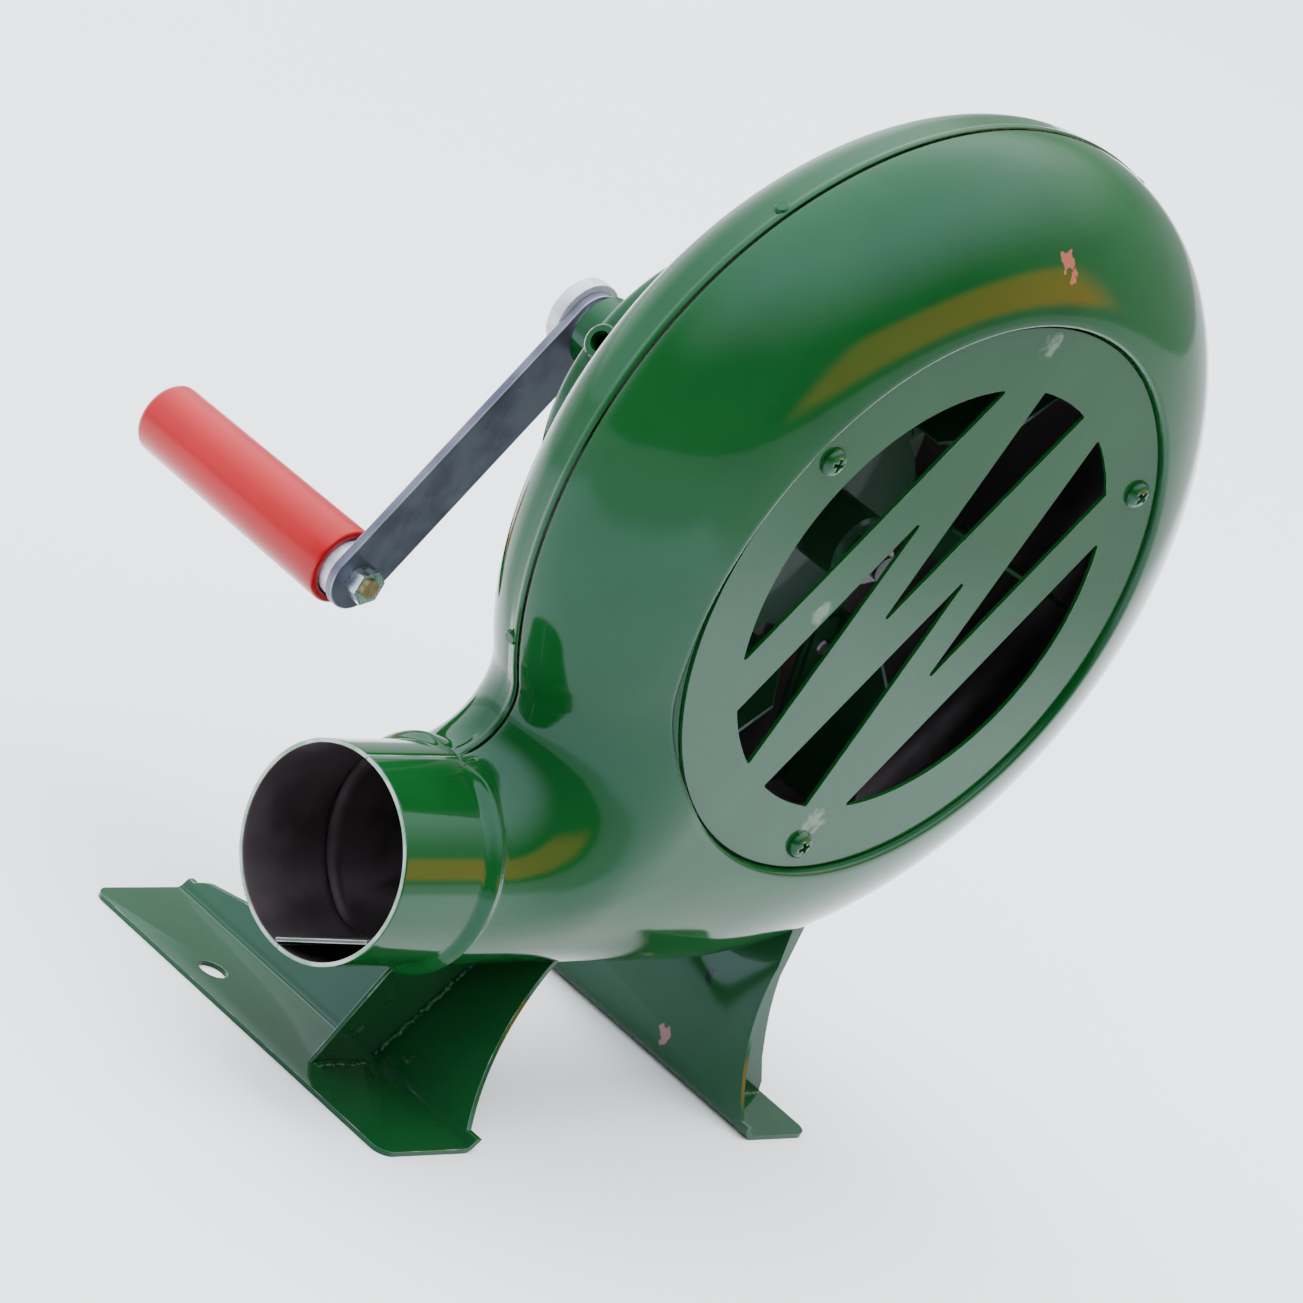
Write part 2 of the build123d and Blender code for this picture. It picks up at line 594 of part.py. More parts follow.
def right_foot():
    return cope(bent_foot(RIGHT_FOLD_X, 1, RIGHT_FLANGE, 0.0, RIGHT_HOLE_X))


def left_gusset():
    """Web between the left flange, the leaning upright and the outlet."""
    low = BENCH_Z + FOOT_SHEET
    toe = LEFT_FOLD_X - LEFT_FLANGE + LEFT_GUSSET_SET_IN
    far = LEFT_FOLD_X + UPRIGHT_TOP
    outline = Polygon((toe, low), (far, low), (far, PIPE_Z),
                      (LEFT_GUSSET_TOP_X, PIPE_Z), (LEFT_GUSSET_TOP_X, PIPE_BOTTOM),
                      (LEFT_GUSSET_TOP_X - 7, PIPE_BOTTOM - 10), align=None)
    web = slab(outline, LEFT_GUSSET_Y, LEFT_GUSSET_Y + GUSSET_SHEET)
    lean_sin = sin(radians(LEFT_LEAN))
    lean_cos = cos(radians(LEFT_LEAN))
    edge = Pos(LEFT_FOLD_X - FOOT_SHEET / lean_cos, BENCH_Z) * Polygon(
        (0, 0), (200 * lean_sin, 200 * lean_cos), (200, 0), align=None)
    web -= slab(edge, LEFT_GUSSET_Y - 1, LEFT_GUSSET_Y + GUSSET_SHEET + 1)
    web -= bend_relief(LEFT_FOLD_X, LEFT_GUSSET_Y)
    return cope(web)


def right_gusset():
    """Web between the right flange, its upright and the casing."""
    low = BENCH_Z + FOOT_SHEET
    toe = RIGHT_FOLD_X + RIGHT_FLANGE - 1.0
    inner = RIGHT_FOLD_X + FOOT_SHEET
    middle = (RIGHT_GUSSET_MID_X, BENCH_Z + RIGHT_GUSSET_MID_UP)
    top = (RIGHT_GUSSET_TOP_X, BENCH_Z + RIGHT_GUSSET_TOP_UP)
    edges = [Line((inner, low), (toe, low)),
             Line((toe, low), (toe - 1, low + 4)),
             ThreePointArc((toe - 1, low + 4), middle, top),
             Line(top, (RIGHT_GUSSET_TOP_X, PIPE_Z)),
             Line((RIGHT_GUSSET_TOP_X, PIPE_Z), (inner, PIPE_Z)),
             Line((inner, PIPE_Z), (inner, low))]
    web = slab(make_face(edges), RIGHT_GUSSET_Y, RIGHT_GUSSET_Y + GUSSET_SHEET)
    web -= bend_relief(RIGHT_FOLD_X, RIGHT_GUSSET_Y)
    return cope(web)


def bend_relief(fold_x, y):
    """Clears a gusset's corner from the bend of its foot."""
    return rod(FOOT_BEND_R + 2 * FOOT_SHEET, y - 1, y + GUSSET_SHEET + 1, fold_x, BENCH_Z)


# ---------------------------------------------------------------- gear case
def case_point(radius, angle):
    return on_circle(radius, angle, CASE_X, CASE_Z)


def backing_plate():
    plate = rod(BACKING_R, BACKING_Y, BACKING_Y + PLATE_T, CASE_X, CASE_Z)
    plate -= rod(FAN_BUSH_R, 0, 2 * REAR_DEPTH)
    notch = on_circle(BACKING_R, -53.5, CASE_X, CASE_Z)
    plate -= rod(4.0, 0, 2 * REAR_DEPTH, notch[0], notch[1])
    for angle in BOLT_ANGLES:
        x, z = case_point(BOLT_CIRCLE_R, angle)
        plate -= rod(BOLT_R + HOLE_PLAY, 0, 2 * REAR_DEPTH, x, z)
    return plate


def gear_plate():
    plate = rod(FLANGE_R, BACK_Y, GEAR_PLATE_TOP, CASE_X, CASE_Z)
    plate -= rod(FAN_BUSH_R, 0, 2 * REAR_DEPTH)
    for angle in BOLT_ANGLES:
        x, z = case_point(BOLT_CIRCLE_R, angle)
        plate -= rod(BOLT_R + HOLE_PLAY, 0, 2 * REAR_DEPTH, x, z)
    return plate


def cover_cup(inset):
    """Turned form of the gear cover; inset by the sheet it is the hollow inside."""
    wall = GEAR_CASE_R - inset
    top = GEAR_CASE_Y - inset
    base = GEAR_PLATE_TOP - (1 if inset else 0)
    half = inset / 2
    points = [(0, base), (wall, base), (wall, top), (DOME_R - half, top),
              (DOME_TOP_R - half, DOME_Y - inset), (0, DOME_Y - inset)]
    outline = Polygon(*points, align=None)
    edge = [v for v in outline.vertices() if abs(v.X - wall) < 0.01 and abs(v.Y - top) < 0.01]
    outline = fillet(edge, GEAR_CASE_ROUND - inset)
    crown = [v for v in outline.vertices() if abs(v.X - points[4][0]) < 0.01 and abs(v.Y - points[4][1]) < 0.01]
    outline = fillet(crown, 3.0 - inset)
    return Pos(CASE_X, 0, CASE_Z) * revolve(Plane.XY * outline, Axis.Y, 360)


def gear_cover():
    cup = cover_cup(0.0)
    cup += rod(FLANGE_R, GEAR_PLATE_TOP, GEAR_PLATE_TOP + SHEET, CASE_X, CASE_Z)
    cup -= cover_cup(SHEET)
    cup -= rod(CRANK_BUSH_R, DOME_Y - 10, DOME_Y + 10, CRANK_X, CRANK_Z)
    for angle in BOLT_ANGLES:
        x, z = case_point(BOLT_CIRCLE_R, angle)
        cup -= rod(BOLT_R + HOLE_PLAY, 0, 2 * GEAR_CASE_Y, x, z)
    return cup - oil_hole(EYELET_HOLE_R)


def oil_hole(radius):
    """Radial bar through the gear cover's wall at the oil hole."""
    bar = extrude(Plane.YZ * Circle(radius), amount=2 * GEAR_CASE_ROUND)
    return Pos(CASE_X, EYELET_Y, CASE_Z) * Rot(0, -EYELET_ANGLE, 0) * Pos(GEAR_CASE_R - 5, 0, 0) * bar


def oil_eyelet():
    """Raised ring round the oil hole, bent to the wall it sits on."""
    ring = extrude(Plane.YZ * Circle(EYELET_R), amount=4 + EYELET_RISE)
    ring = chamfer(ring.edges().group_by(Axis.X)[-1], 0.6)
    ring -= extrude(Plane.YZ * Circle(EYELET_HOLE_R), amount=20)
    ring = Pos(CASE_X, EYELET_Y, CASE_Z) * Rot(0, -EYELET_ANGLE, 0) * Pos(GEAR_CASE_R - 4, 0, 0) * ring
    return ring - cover_cup(0.0)


def case_bolt(angle):
    x, z = case_point(BOLT_CIRCLE_R, angle)
    seat = GEAR_PLATE_TOP + SHEET
    head = rod(BOLT_HEAD_R, seat, seat + BOLT_HEAD_H, x, z)
    head = chamfer(head.edges().group_by(Axis.Y)[-1], BOLT_HEAD_H * 0.35)
    shank = rod(BOLT_R, BACKING_Y - BOLT_NUT_H - BOLT_END, seat, x, z)
    return head + shank


def case_nut(angle):
    x, z = case_point(BOLT_CIRCLE_R, angle)
    return hex_nut(BOLT_NUT_AF, BOLT_R, BACKING_Y - BOLT_NUT_H, BACKING_Y, x, z, angle)


# ---------------------------------------------------------------- gears
def involute(radius, base):
    """Angle of the involute at a radius, from its start on the base circle."""
    pressure = acos(min(1.0, base / radius))
    return tan(pressure) - pressure


def gear_outline(teeth, tip, toward):
    """Gear outline with one tooth centred on an angle (radians from +X towards +Z)."""
    pitch_r = MODULE * teeth / 2
    base_r = pitch_r * cos(radians(PRESSURE))
    root_r = pitch_r - TOOTH_ROOT * MODULE
    tip_r = pitch_r + tip * MODULE
    half = (pi * MODULE / 2 - BACKLASH) / 2 / pitch_r + involute(pitch_r, base_r)
    low_r = max(base_r, root_r + 0.05)
    mid_r = (pitch_r + low_r) / 2
    flank = [(root_r, half + (0.04 if low_r == base_r else 0.0))]
    for r in (low_r, mid_r, pitch_r, (pitch_r + tip_r) / 2, tip_r):
        flank.append((r, half - involute(max(r, base_r), base_r)))
    points = []
    for tooth in range(teeth):
        middle = toward + 2 * pi * tooth / teeth
        for r, a in flank:
            points.append((r * cos(middle - a), r * sin(middle - a)))
        for r, a in reversed(flank):
            points.append((r * cos(middle + a), r * sin(middle + a)))
    return Polygon(*points, align=None)


def gear(teeth, tip, toward, y0, y1, x, z, bore):
    outline = gear_outline(teeth, tip, toward) - Circle(bore)
    return slab(Pos(x, z) * outline, y0, y1)


def lightening(radius, hole_r, count, y0, y1, x, z, first=0.0):
    """Ring of holes through a wheel."""
    holes = [rod(hole_r, y0 - 1, y1 + 1, *on_circle(radius, first + 360 * i / count, x, z))
             for i in range(count)]
    return holes


def crank_gear():
    toward = IDLER_BEARING
    wheel = gear(CRANK_TEETH, GEAR_TIP, toward, HIGH_GEAR_Y, HIGH_GEAR_Y + GEAR_FACE,
                 CRANK_X, CRANK_Z, CRANK_SHAFT_R)
    for hole in lightening(19.0, 4.5, 6, HIGH_GEAR_Y, HIGH_GEAR_Y + GEAR_FACE, CRANK_X, CRANK_Z):
        wheel -= hole
    wheel += tube(CRANK_HUB_R, CRANK_SHAFT_R, CRANK_FOOT_END + END_PLAY, DOME_Y - 6 - END_PLAY,
                  CRANK_X, CRANK_Z)
    return wheel


def idler_gear():
    y0 = LOW_GEAR_Y
    y1 = LOW_GEAR_Y + GEAR_FACE
    return gear(IDLER_TEETH, GEAR_TIP, IDLER_TO_FAN_BEARING, y0, y1, IDLER_X, IDLER_Z,
                IDLER_HUB_R)


def idler_pinion():
    """Pinion in one piece with the long hub that carries the idler wheel."""
    toward = IDLER_BEARING + pi + pi / IDLER_PINION_TEETH
    y0 = HIGH_GEAR_Y - PINION_OVER
    y1 = HIGH_GEAR_Y + GEAR_FACE + PINION_OVER
    pinion = gear(IDLER_PINION_TEETH, PINION_TIP, toward, y0, y1, IDLER_X, IDLER_Z,
                  IDLER_POST_R + RUN)
    hub_start = GEAR_PLATE_TOP + BUSH_FLANGE_T + END_PLAY
    return pinion + tube(IDLER_HUB_R, IDLER_POST_R + RUN, hub_start, y0 + 0.4, IDLER_X, IDLER_Z)


def fan_pinion():
    toward = IDLER_TO_FAN_BEARING + pi + pi / FAN_TEETH
    return gear(FAN_TEETH, PINION_TIP, toward, LOW_GEAR_Y - PINION_OVER,
                LOW_GEAR_Y + GEAR_FACE + PINION_OVER, 0, 0, FAN_PINION_SEAT_R)


# ---------------------------------------------------------------- shafts and bushes
def fan_bush():
    """Flanged bearing through both plates and the rear wall."""
    end = GEAR_PLATE_TOP + BUSH_FLANGE_T
    bush = tube(FAN_BUSH_R, FAN_SHAFT_R + RUN, FAN_BUSH_FRONT, end)
    return bush + tube(FAN_BUSH_FLANGE_R, FAN_SHAFT_R + RUN, BACKING_Y - BUSH_FLANGE_T, BACKING_Y)


def fan_shaft():
    shoulder = LOW_GEAR_Y - PINION_OVER
    end = LOW_GEAR_Y + GEAR_FACE + PINION_OVER + 0.6
    return rod(FAN_SHAFT_R, FAN_SHAFT_FRONT, shoulder) + rod(FAN_PINION_SEAT_R, shoulder, end)


def idler_post():
    """Riveted stud in the gear plate, with a thrust shoulder and a head."""
    top = HIGH_GEAR_Y + GEAR_FACE + PINION_OVER + END_PLAY
    post = rod(IDLER_POST_R, GEAR_PLATE_TOP, top + 2.0, IDLER_X, IDLER_Z)
    post += rod(IDLER_HUB_R, GEAR_PLATE_TOP, GEAR_PLATE_TOP + BUSH_FLANGE_T, IDLER_X, IDLER_Z)
    return post + rod(IDLER_POST_R + 1.6, top, top + 1.2, IDLER_X, IDLER_Z)


def crank_bush():
    """Turned boss in the dome of the gear cover."""
    inner = DOME_Y - 6
    bush = tube(CRANK_BUSH_R, CRANK_SHAFT_R + RUN, inner, DOME_Y, CRANK_X, CRANK_Z)
    boss = tube(CRANK_BUSH_FLANGE_R, CRANK_SHAFT_R + RUN, DOME_Y, CRANK_BUSH_END, CRANK_X, CRANK_Z)
    boss = chamfer([e for e in boss.edges().group_by(Axis.Y)[-1] if e.length > 50], 1.0)
    return bush + boss


def crank_foot_bush():
    return tube(CRANK_BUSH_R, CRANK_SHAFT_R + RUN, GEAR_PLATE_TOP, CRANK_FOOT_END, CRANK_X, CRANK_Z)


def crank_shaft():
    shaft = rod(CRANK_SHAFT_R, GEAR_PLATE_TOP + 0.5, ARM_Y + ARM_T + HUB_T, CRANK_X, CRANK_Z)
    collar = rod(COLLAR_R, CRANK_BUSH_END + END_PLAY, ARM_Y, CRANK_X, CRANK_Z)
    return shaft + collar


# ---------------------------------------------------------------- fan
BLADE_ROOT = 32.3        # blade's inner end along its own line
BLADE_OFF = 20.2         # that line's distance from the fan axis
BLADE_FIRST = -18.4      # its direction for the first blade, degrees


def fan_spider():
    """Pressed star: round centre with one flat arm under every blade."""
    outline = Circle(SPIDER_R)
    reach = sqrt(FAN_R ** 2 - BLADE_OFF ** 2) - 4
    arm = Pos(reach / 2, BLADE_OFF - SPIDER_ARM / 2 + BLADE_T) * Rectangle(reach, SPIDER_ARM)
    for i in range(FAN_BLADES):
        outline += Rot(0, 0, BLADE_FIRST + 360 * i / FAN_BLADES) * arm
    outline -= Circle(FAN_SHAFT_R)
    return slab(outline, SPIDER_Y, SPIDER_Y + SPIDER_T)


def fan_blade():
    """One bent paddle in its own frame: its line runs along +X at the offset."""
    reach = sqrt(FAN_R ** 2 - BLADE_OFF ** 2) - 1
    length = reach - BLADE_ROOT
    middle = (reach + BLADE_ROOT) / 2
    outline = Polygon((BLADE_ROOT, SPIDER_Y), (reach, SPIDER_Y), (reach, BLADE_FRONT + 3),
                      (reach - 6, BLADE_FRONT), (BLADE_ROOT + 14, BLADE_FRONT),
                      (BLADE_ROOT, BLADE_FRONT + 12), align=None)
    paddle = Pos(0, 0, BLADE_OFF) * extrude(Plane.XY * outline, amount=BLADE_T)
    lip = Pos(middle, SPIDER_Y - BLADE_T / 2, BLADE_OFF - BLADE_LIP / 2) * Box(length - 4, BLADE_T, BLADE_LIP)
    return paddle + lip


def fan_blades():
    blade = fan_blade()
    turns = [-(BLADE_FIRST + 360 * i / FAN_BLADES) for i in range(FAN_BLADES)]
    return [Rot(0, turn, 0) * blade for turn in turns]


def fan_rivets():
    heads = []
    for i in range(FAN_BLADES):
        turn = -(BLADE_FIRST + 360 * i / FAN_BLADES)
        for along in (BLADE_ROOT + 12, BLADE_ROOT + 46):
            x, z = along, BLADE_OFF - BLADE_LIP / 2
            front = SPIDER_Y - BLADE_T
            head = rod(FAN_RIVET_R, front - FAN_RIVET_H, front, x, z)
            head = chamfer(head.edges().group_by(Axis.Y)[0], FAN_RIVET_H * 0.6)
            heads.append(Rot(0, turn, 0) * head)
    return heads


def fan_hub():
    """Turned hub; the spider is clamped between its flange and its rear spigot."""
    hub = tube(FAN_HUB_R, FAN_SHAFT_R, FAN_HUB_FRONT, SPIDER_Y)
    hub = chamfer([e for e in hub.edges().group_by(Axis.Y)[0] if e.length > 50], 1.0)
    return hub


def fan_back_washer():
    return tube(FAN_HUB_R - 2, FAN_SHAFT_R, SPIDER_Y + SPIDER_T, FAN_BUSH_FRONT - END_PLAY)


def fan_nut():
    return hex_nut(FAN_NUT_AF, FAN_SHAFT_R, FAN_HUB_FRONT - FAN_NUT_H, FAN_HUB_FRONT, 0, 0, 12.0)


# ---------------------------------------------------------------- crank and grip
def crank_arm():
    length = hypot(GRIP_X - CRANK_X, GRIP_Z - CRANK_Z)
    turn = degrees(atan2(GRIP_Z - CRANK_Z, GRIP_X - CRANK_X))
    middle = ((GRIP_X + CRANK_X) / 2, (GRIP_Z + CRANK_Z) / 2)
    outline = Pos(*middle) * Rot(0, 0, turn) * SlotCenterToCenter(length, ARM_W)
    outline -= Pos(CRANK_X, CRANK_Z) * Circle(CRANK_SHAFT_R)
    outline -= Pos(GRIP_X, GRIP_Z) * Circle(PIN_R)
    return slab(outline, ARM_Y, ARM_Y + ARM_T)


def crank_hub():
    y0 = ARM_Y + ARM_T
    hub = rod(HUB_R, y0, y0 + HUB_T, CRANK_X, CRANK_Z)
    hub = chamfer(hub.edges().group_by(Axis.Y)[-1], 0.8)
    return hub - rod(CRANK_SHAFT_R, y0 - 1, y0 + HUB_T + 1, CRANK_X, CRANK_Z)


GRIP_NEAR = ARM_Y + ARM_T + GRIP_GAP
GRIP_FAR = GRIP_NEAR + GRIP_LENGTH
HEAD_SEAT = GRIP_FAR - GRIP_RECESS - PIN_HEAD_H


def grip_bolt():
    bolt = rod(PIN_R, ARM_Y - PIN_NUT_H - 0.8, HEAD_SEAT, GRIP_X, GRIP_Z)
    head = rod(PIN_HEAD_R, HEAD_SEAT, HEAD_SEAT + PIN_HEAD_H, GRIP_X, GRIP_Z)
    return bolt + fillet(head.edges().group_by(Axis.Y)[-1], 1.5)


def grip_nut():
    return hex_nut(PIN_NUT_AF, PIN_R, ARM_Y - PIN_NUT_H, ARM_Y, GRIP_X, GRIP_Z, 20.0)


def grip_sleeve():
    y0 = ARM_Y + ARM_T
    return tube(SLEEVE_R, PIN_R, y0, y0 + SLEEVE_T, GRIP_X, GRIP_Z)


def grip():
    """Hollow moulded grip: recessed at both ends, running on the bolt."""
    outline = Polygon((0, GRIP_NEAR), (GRIP_R, GRIP_NEAR), (GRIP_R, GRIP_NEAR + 8),
                      (GRIP_R - GRIP_WAIST, GRIP_FAR), (0, GRIP_FAR), align=None)
    near = [v for v in outline.vertices() if v.X > 1 and abs(v.Y - GRIP_NEAR) < 0.01]
    outline = fillet(near, 1.0)
    far = [v for v in outline.vertices() if v.X > 1 and abs(v.Y - GRIP_FAR) < 0.01]
    outline = fillet(far, GRIP_ROUND)
    body = revolve(Plane.XY * outline, Axis.Y, 360)
    body = Pos(GRIP_X, 0, GRIP_Z) * body
    body -= rod(PIN_R + RUN, GRIP_NEAR - 1, GRIP_FAR + 1, GRIP_X, GRIP_Z)
    well = ARM_Y + ARM_T + SLEEVE_T + END_PLAY
    body -= rod(SLEEVE_R + SLEEVE_PLAY, GRIP_NEAR - 1, well, GRIP_X, GRIP_Z)
    return body - rod(PIN_HEAD_R + 2, HEAD_SEAT - END_PLAY, GRIP_FAR + 1, GRIP_X, GRIP_Z)


# ---------------------------------------------------------------- write the pieces
def write(name, *shapes):
    moved = [BENCH_FRAME * shape for shape in shapes]
    solids = [solid for shape in moved for solid in shape.solids()]
    if len(solids) == 1:
        whole = solids[0]
    else:
        whole = Compound(children=solids)
    whole.label = name
    export_step(whole, f"parts/{name}.step")
    print(f"{name:20s} solids {len(solids):2d} volume {sum(s.volume for s in solids):10.1f}")


write("front_shell", front_shell())
write("rear_shell", rear_shell())
write("intake_cover", intake_cover())
for number, angle in enumerate(SCREW_ANGLES, 1):
    write(f"cover_screw_{number}", cover_screw(angle))
write("throat_strip", throat_strip())
write("seam_rivets", *[seam_rivet(angle) for angle in RIVET_ANGLES])
write("left_foot", left_foot())
write("right_foot", right_foot())
write("left_gusset", left_gusset())
write("right_gusset", right_gusset())
write("backing_plate", backing_plate())
write("gear_plate", gear_plate())
write("gear_cover", gear_cover())
write("oil_eyelet", oil_eyelet())
for number, angle in enumerate(BOLT_ANGLES, 1):
    write(f"case_bolt_{number}", case_bolt(angle))
    write(f"case_nut_{number}", case_nut(angle))
write("fan_bush", fan_bush())
write("idler_post", idler_post())
write("crank_bush", crank_bush())
write("crank_foot_bush", crank_foot_bush())
write("crank_shaft", crank_shaft())
write("crank_gear", crank_gear())
write("crank_arm", crank_arm())
write("crank_hub", crank_hub())
write("grip_bolt", grip_bolt())
write("grip_nut", grip_nut())
write("grip_sleeve", grip_sleeve())
write("grip", grip())
write("idler_gear", idler_gear())
write("idler_pinion", idler_pinion())
write("fan_shaft", fan_shaft())
write("fan_pinion", fan_pinion())
write("fan_hub", fan_hub())
write("fan_spider", fan_spider())
for number, blade in enumerate(fan_blades(), 1):
    write(f"fan_blade_{number}", blade)
write("fan_rivets", *fan_rivets())
write("fan_back_washer", fan_back_washer())
write("fan_nut", fan_nut())
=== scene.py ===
# %% [markdown]
# # Hand crank forge blower
# A pressed-steel blower for a small forge: two enamelled half shells with a round outlet,
# a slotted cover over the intake, two bent feet, a gear case at the back and a crank with
# a red grip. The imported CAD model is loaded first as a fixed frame, and every piece made
# here is drawn in the same metres, so it lands on its place with no fitting.

# %% Load the frame
import math

import bmesh
import bpy
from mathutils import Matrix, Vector


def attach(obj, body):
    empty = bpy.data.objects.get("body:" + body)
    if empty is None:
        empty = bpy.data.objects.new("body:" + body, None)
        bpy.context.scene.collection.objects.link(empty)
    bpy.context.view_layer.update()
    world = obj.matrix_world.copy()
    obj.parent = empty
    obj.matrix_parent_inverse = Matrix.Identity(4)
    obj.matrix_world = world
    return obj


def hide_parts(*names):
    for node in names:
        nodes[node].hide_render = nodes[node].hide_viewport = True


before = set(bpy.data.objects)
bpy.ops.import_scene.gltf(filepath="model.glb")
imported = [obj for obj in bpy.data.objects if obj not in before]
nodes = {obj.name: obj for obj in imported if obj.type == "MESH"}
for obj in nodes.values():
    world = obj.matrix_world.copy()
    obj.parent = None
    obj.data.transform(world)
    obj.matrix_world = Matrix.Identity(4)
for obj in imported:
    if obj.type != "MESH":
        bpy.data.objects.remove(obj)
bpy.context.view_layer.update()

# %% [markdown]
# The blower is easiest to think of round its own fan: the fan axis is Y, the seam of the
# two shells is y = 0, the intake faces -Y and the outlet points to -X, all in millimetres.
# One helper turns such a place into the frame of the part, so that the drawing sizes below
# can be read straight off a workshop drawing.

# %% Places in the fan's own drawing
FAN_CENTRE = Vector((0.036, -0.048, 0.180))


def at(x, y, z):
    return Vector((x, y, z)) * 0.001 + FAN_CENTRE


def round_about(radius, degrees, x=0.0, z=0.0):
    turn = math.radians(degrees)
    return x + radius * math.cos(turn), z + radius * math.sin(turn)


def smoothstep(low, high, value):
    t = min(1.0, max(0.0, (value - low) / (high - low)))
    return t * t * (3.0 - 2.0 * t)

# %% [markdown]
# The camera stands where the photographer stood: low on the outlet's side, in front of the
# intake, with a long lens, and held at a slant, so that the blower seems to lean back.

# %% Camera
camera_data = bpy.data.cameras.new("photo_camera")
camera_data.sensor_width = 36.0
camera_data.lens = 196.489
camera_data.clip_start = 0.05
camera_data.clip_end = 60.0
camera = bpy.data.objects.new("photo_camera", camera_data)
camera.location = (-1.540787, -1.173867, 0.798507)
camera.rotation_euler = [math.radians(a) for a in (68.827213, -24.327760, -44.384889)]
bpy.context.scene.collection.objects.link(camera)
bpy.context.scene.camera = camera

# %% [markdown]
# Some effects belong to more than one finish: small bumps in a sprayed coat, grime that
# gathers in patches, chips where the coat has been knocked off, the fine lines of a rolled
# or turned metal, and a place worn down to the primer. Each is a shader node group, made
# once, with inputs that every material sets for itself.

# %% Tools for node trees
def new_group(name, inputs, outputs):
    """A shader group whose first input is a Vector; the others come with their values."""
    group = bpy.data.node_groups.new(name, "ShaderNodeTree")
    for label, value in {"Vector": (0, 0, 0), **inputs}.items():
        kind = "NodeSocketVector" if isinstance(value, tuple) else "NodeSocketFloat"
        socket = group.interface.new_socket(name=label, in_out="INPUT", socket_type=kind)
        socket.default_value = value
    for label in outputs:
        group.interface.new_socket(name=label, in_out="OUTPUT", socket_type="NodeSocketFloat")
    start, end = (group.nodes.new("NodeGroup" + kind) for kind in ("Input", "Output"))
    return group, start.outputs, end.inputs


def wire(tree, source, target):
    """Links an output to an input, or sets the input to a number, a vector or a colour."""
    if isinstance(source, bpy.types.NodeSocket):
        tree.links.new(source, target)
    elif target.type == "RGBA":
        target.default_value = (*source, 1.0)
    else:
        target.default_value = source


def add(tree, kind, inputs=None, **settings):
    node = tree.nodes.new(kind)
    for key, value in settings.items():
        setattr(node, key, value)
    for label, value in (inputs or {}).items():
        wire(tree, value, node.inputs[label])
    return node


def math_node(tree, operation, *values):
    return add(tree, "ShaderNodeMath", dict(enumerate(values)), operation=operation).outputs[0]


def times(tree, first, second):
    return math_node(tree, "MULTIPLY", first, second)


def weighted(tree, first, share, second, other_share):
    """Sum of two values, each times its own share."""
    return math_node(tree, "ADD", times(tree, first, share), times(tree, second, other_share))


def ramp_between(tree, value, low, high):
    node = add(tree, "ShaderNodeMapRange", {"Value": value, "From Min": low, "From Max": high},
               interpolation_type="SMOOTHSTEP")
    return node.outputs["Result"]


def noise_at(tree, vector, scale, detail, roughness=0.5):
    return add(tree, "ShaderNodeTexNoise", {"Vector": vector, "Scale": scale, "Detail": detail,
                                            "Roughness": roughness}).outputs


# %% Group: patches
def make_patches():
    """Slow cloudy patches, for uneven colour and thickness."""
    group, given, end = new_group("patches", {"Scale": 12.0, "Low": 0.4, "High": 0.65}, ["Mask"])
    noise = noise_at(group, given["Vector"], given["Scale"], 4.0, 0.55)
    wire(group, ramp_between(group, noise["Fac"], given["Low"], given["High"]), end["Mask"])
    return group


patches = make_patches()


# %% Group: chips
def make_chips():
    """Sparse small spots with ragged edges, where a coat is knocked off or dirt stuck in it."""
    group, given, end = new_group("chips", {"Scale": 60.0, "Rarity": 0.8}, ["Mask"])
    warp = noise_at(group, given["Vector"], 240.0, 3.0)["Color"]
    moved = add(group, "ShaderNodeMix", {"Factor": 0.012, "A": given["Vector"], "B": warp},
                data_type="VECTOR").outputs["Result"]
    cells = add(group, "ShaderNodeTexVoronoi", {"Vector": moved, "Scale": given["Scale"]},
                feature="F1")
    near = ramp_between(group, cells.outputs["Distance"], 0.22, 0.08)
    split = add(group, "ShaderNodeSeparateColor", {"Color": cells.outputs["Color"]})
    chosen = math_node(group, "GREATER_THAN", split.outputs["Red"], given["Rarity"])
    wire(group, times(group, near, chosen), end["Mask"])
    return group


chips = make_chips()


# %% Group: fine lines
def make_lines():
    """Fine lines along one axis: the grain of rolled bar, or the feed marks of a lathe."""
    group, given, end = new_group("fine_lines", {"Across": 900.0, "Along": 12.0},
                                  ["Lines", "Clouds"])
    split = add(group, "ShaderNodeSeparateXYZ", {0: given["Vector"]}).outputs
    stretch = {"X": "Across", "Y": "Across", "Z": "Along"}
    joined = add(group, "ShaderNodeCombineXYZ",
                 {axis: times(group, split[axis], given[by]) for axis, by in stretch.items()})
    wire(group, noise_at(group, joined.outputs[0], 1.0, 3.0)["Fac"], end["Lines"])
    wire(group, noise_at(group, given["Vector"], 70.0, 5.0)["Fac"], end["Clouds"])
    return group


fine_lines = make_lines()


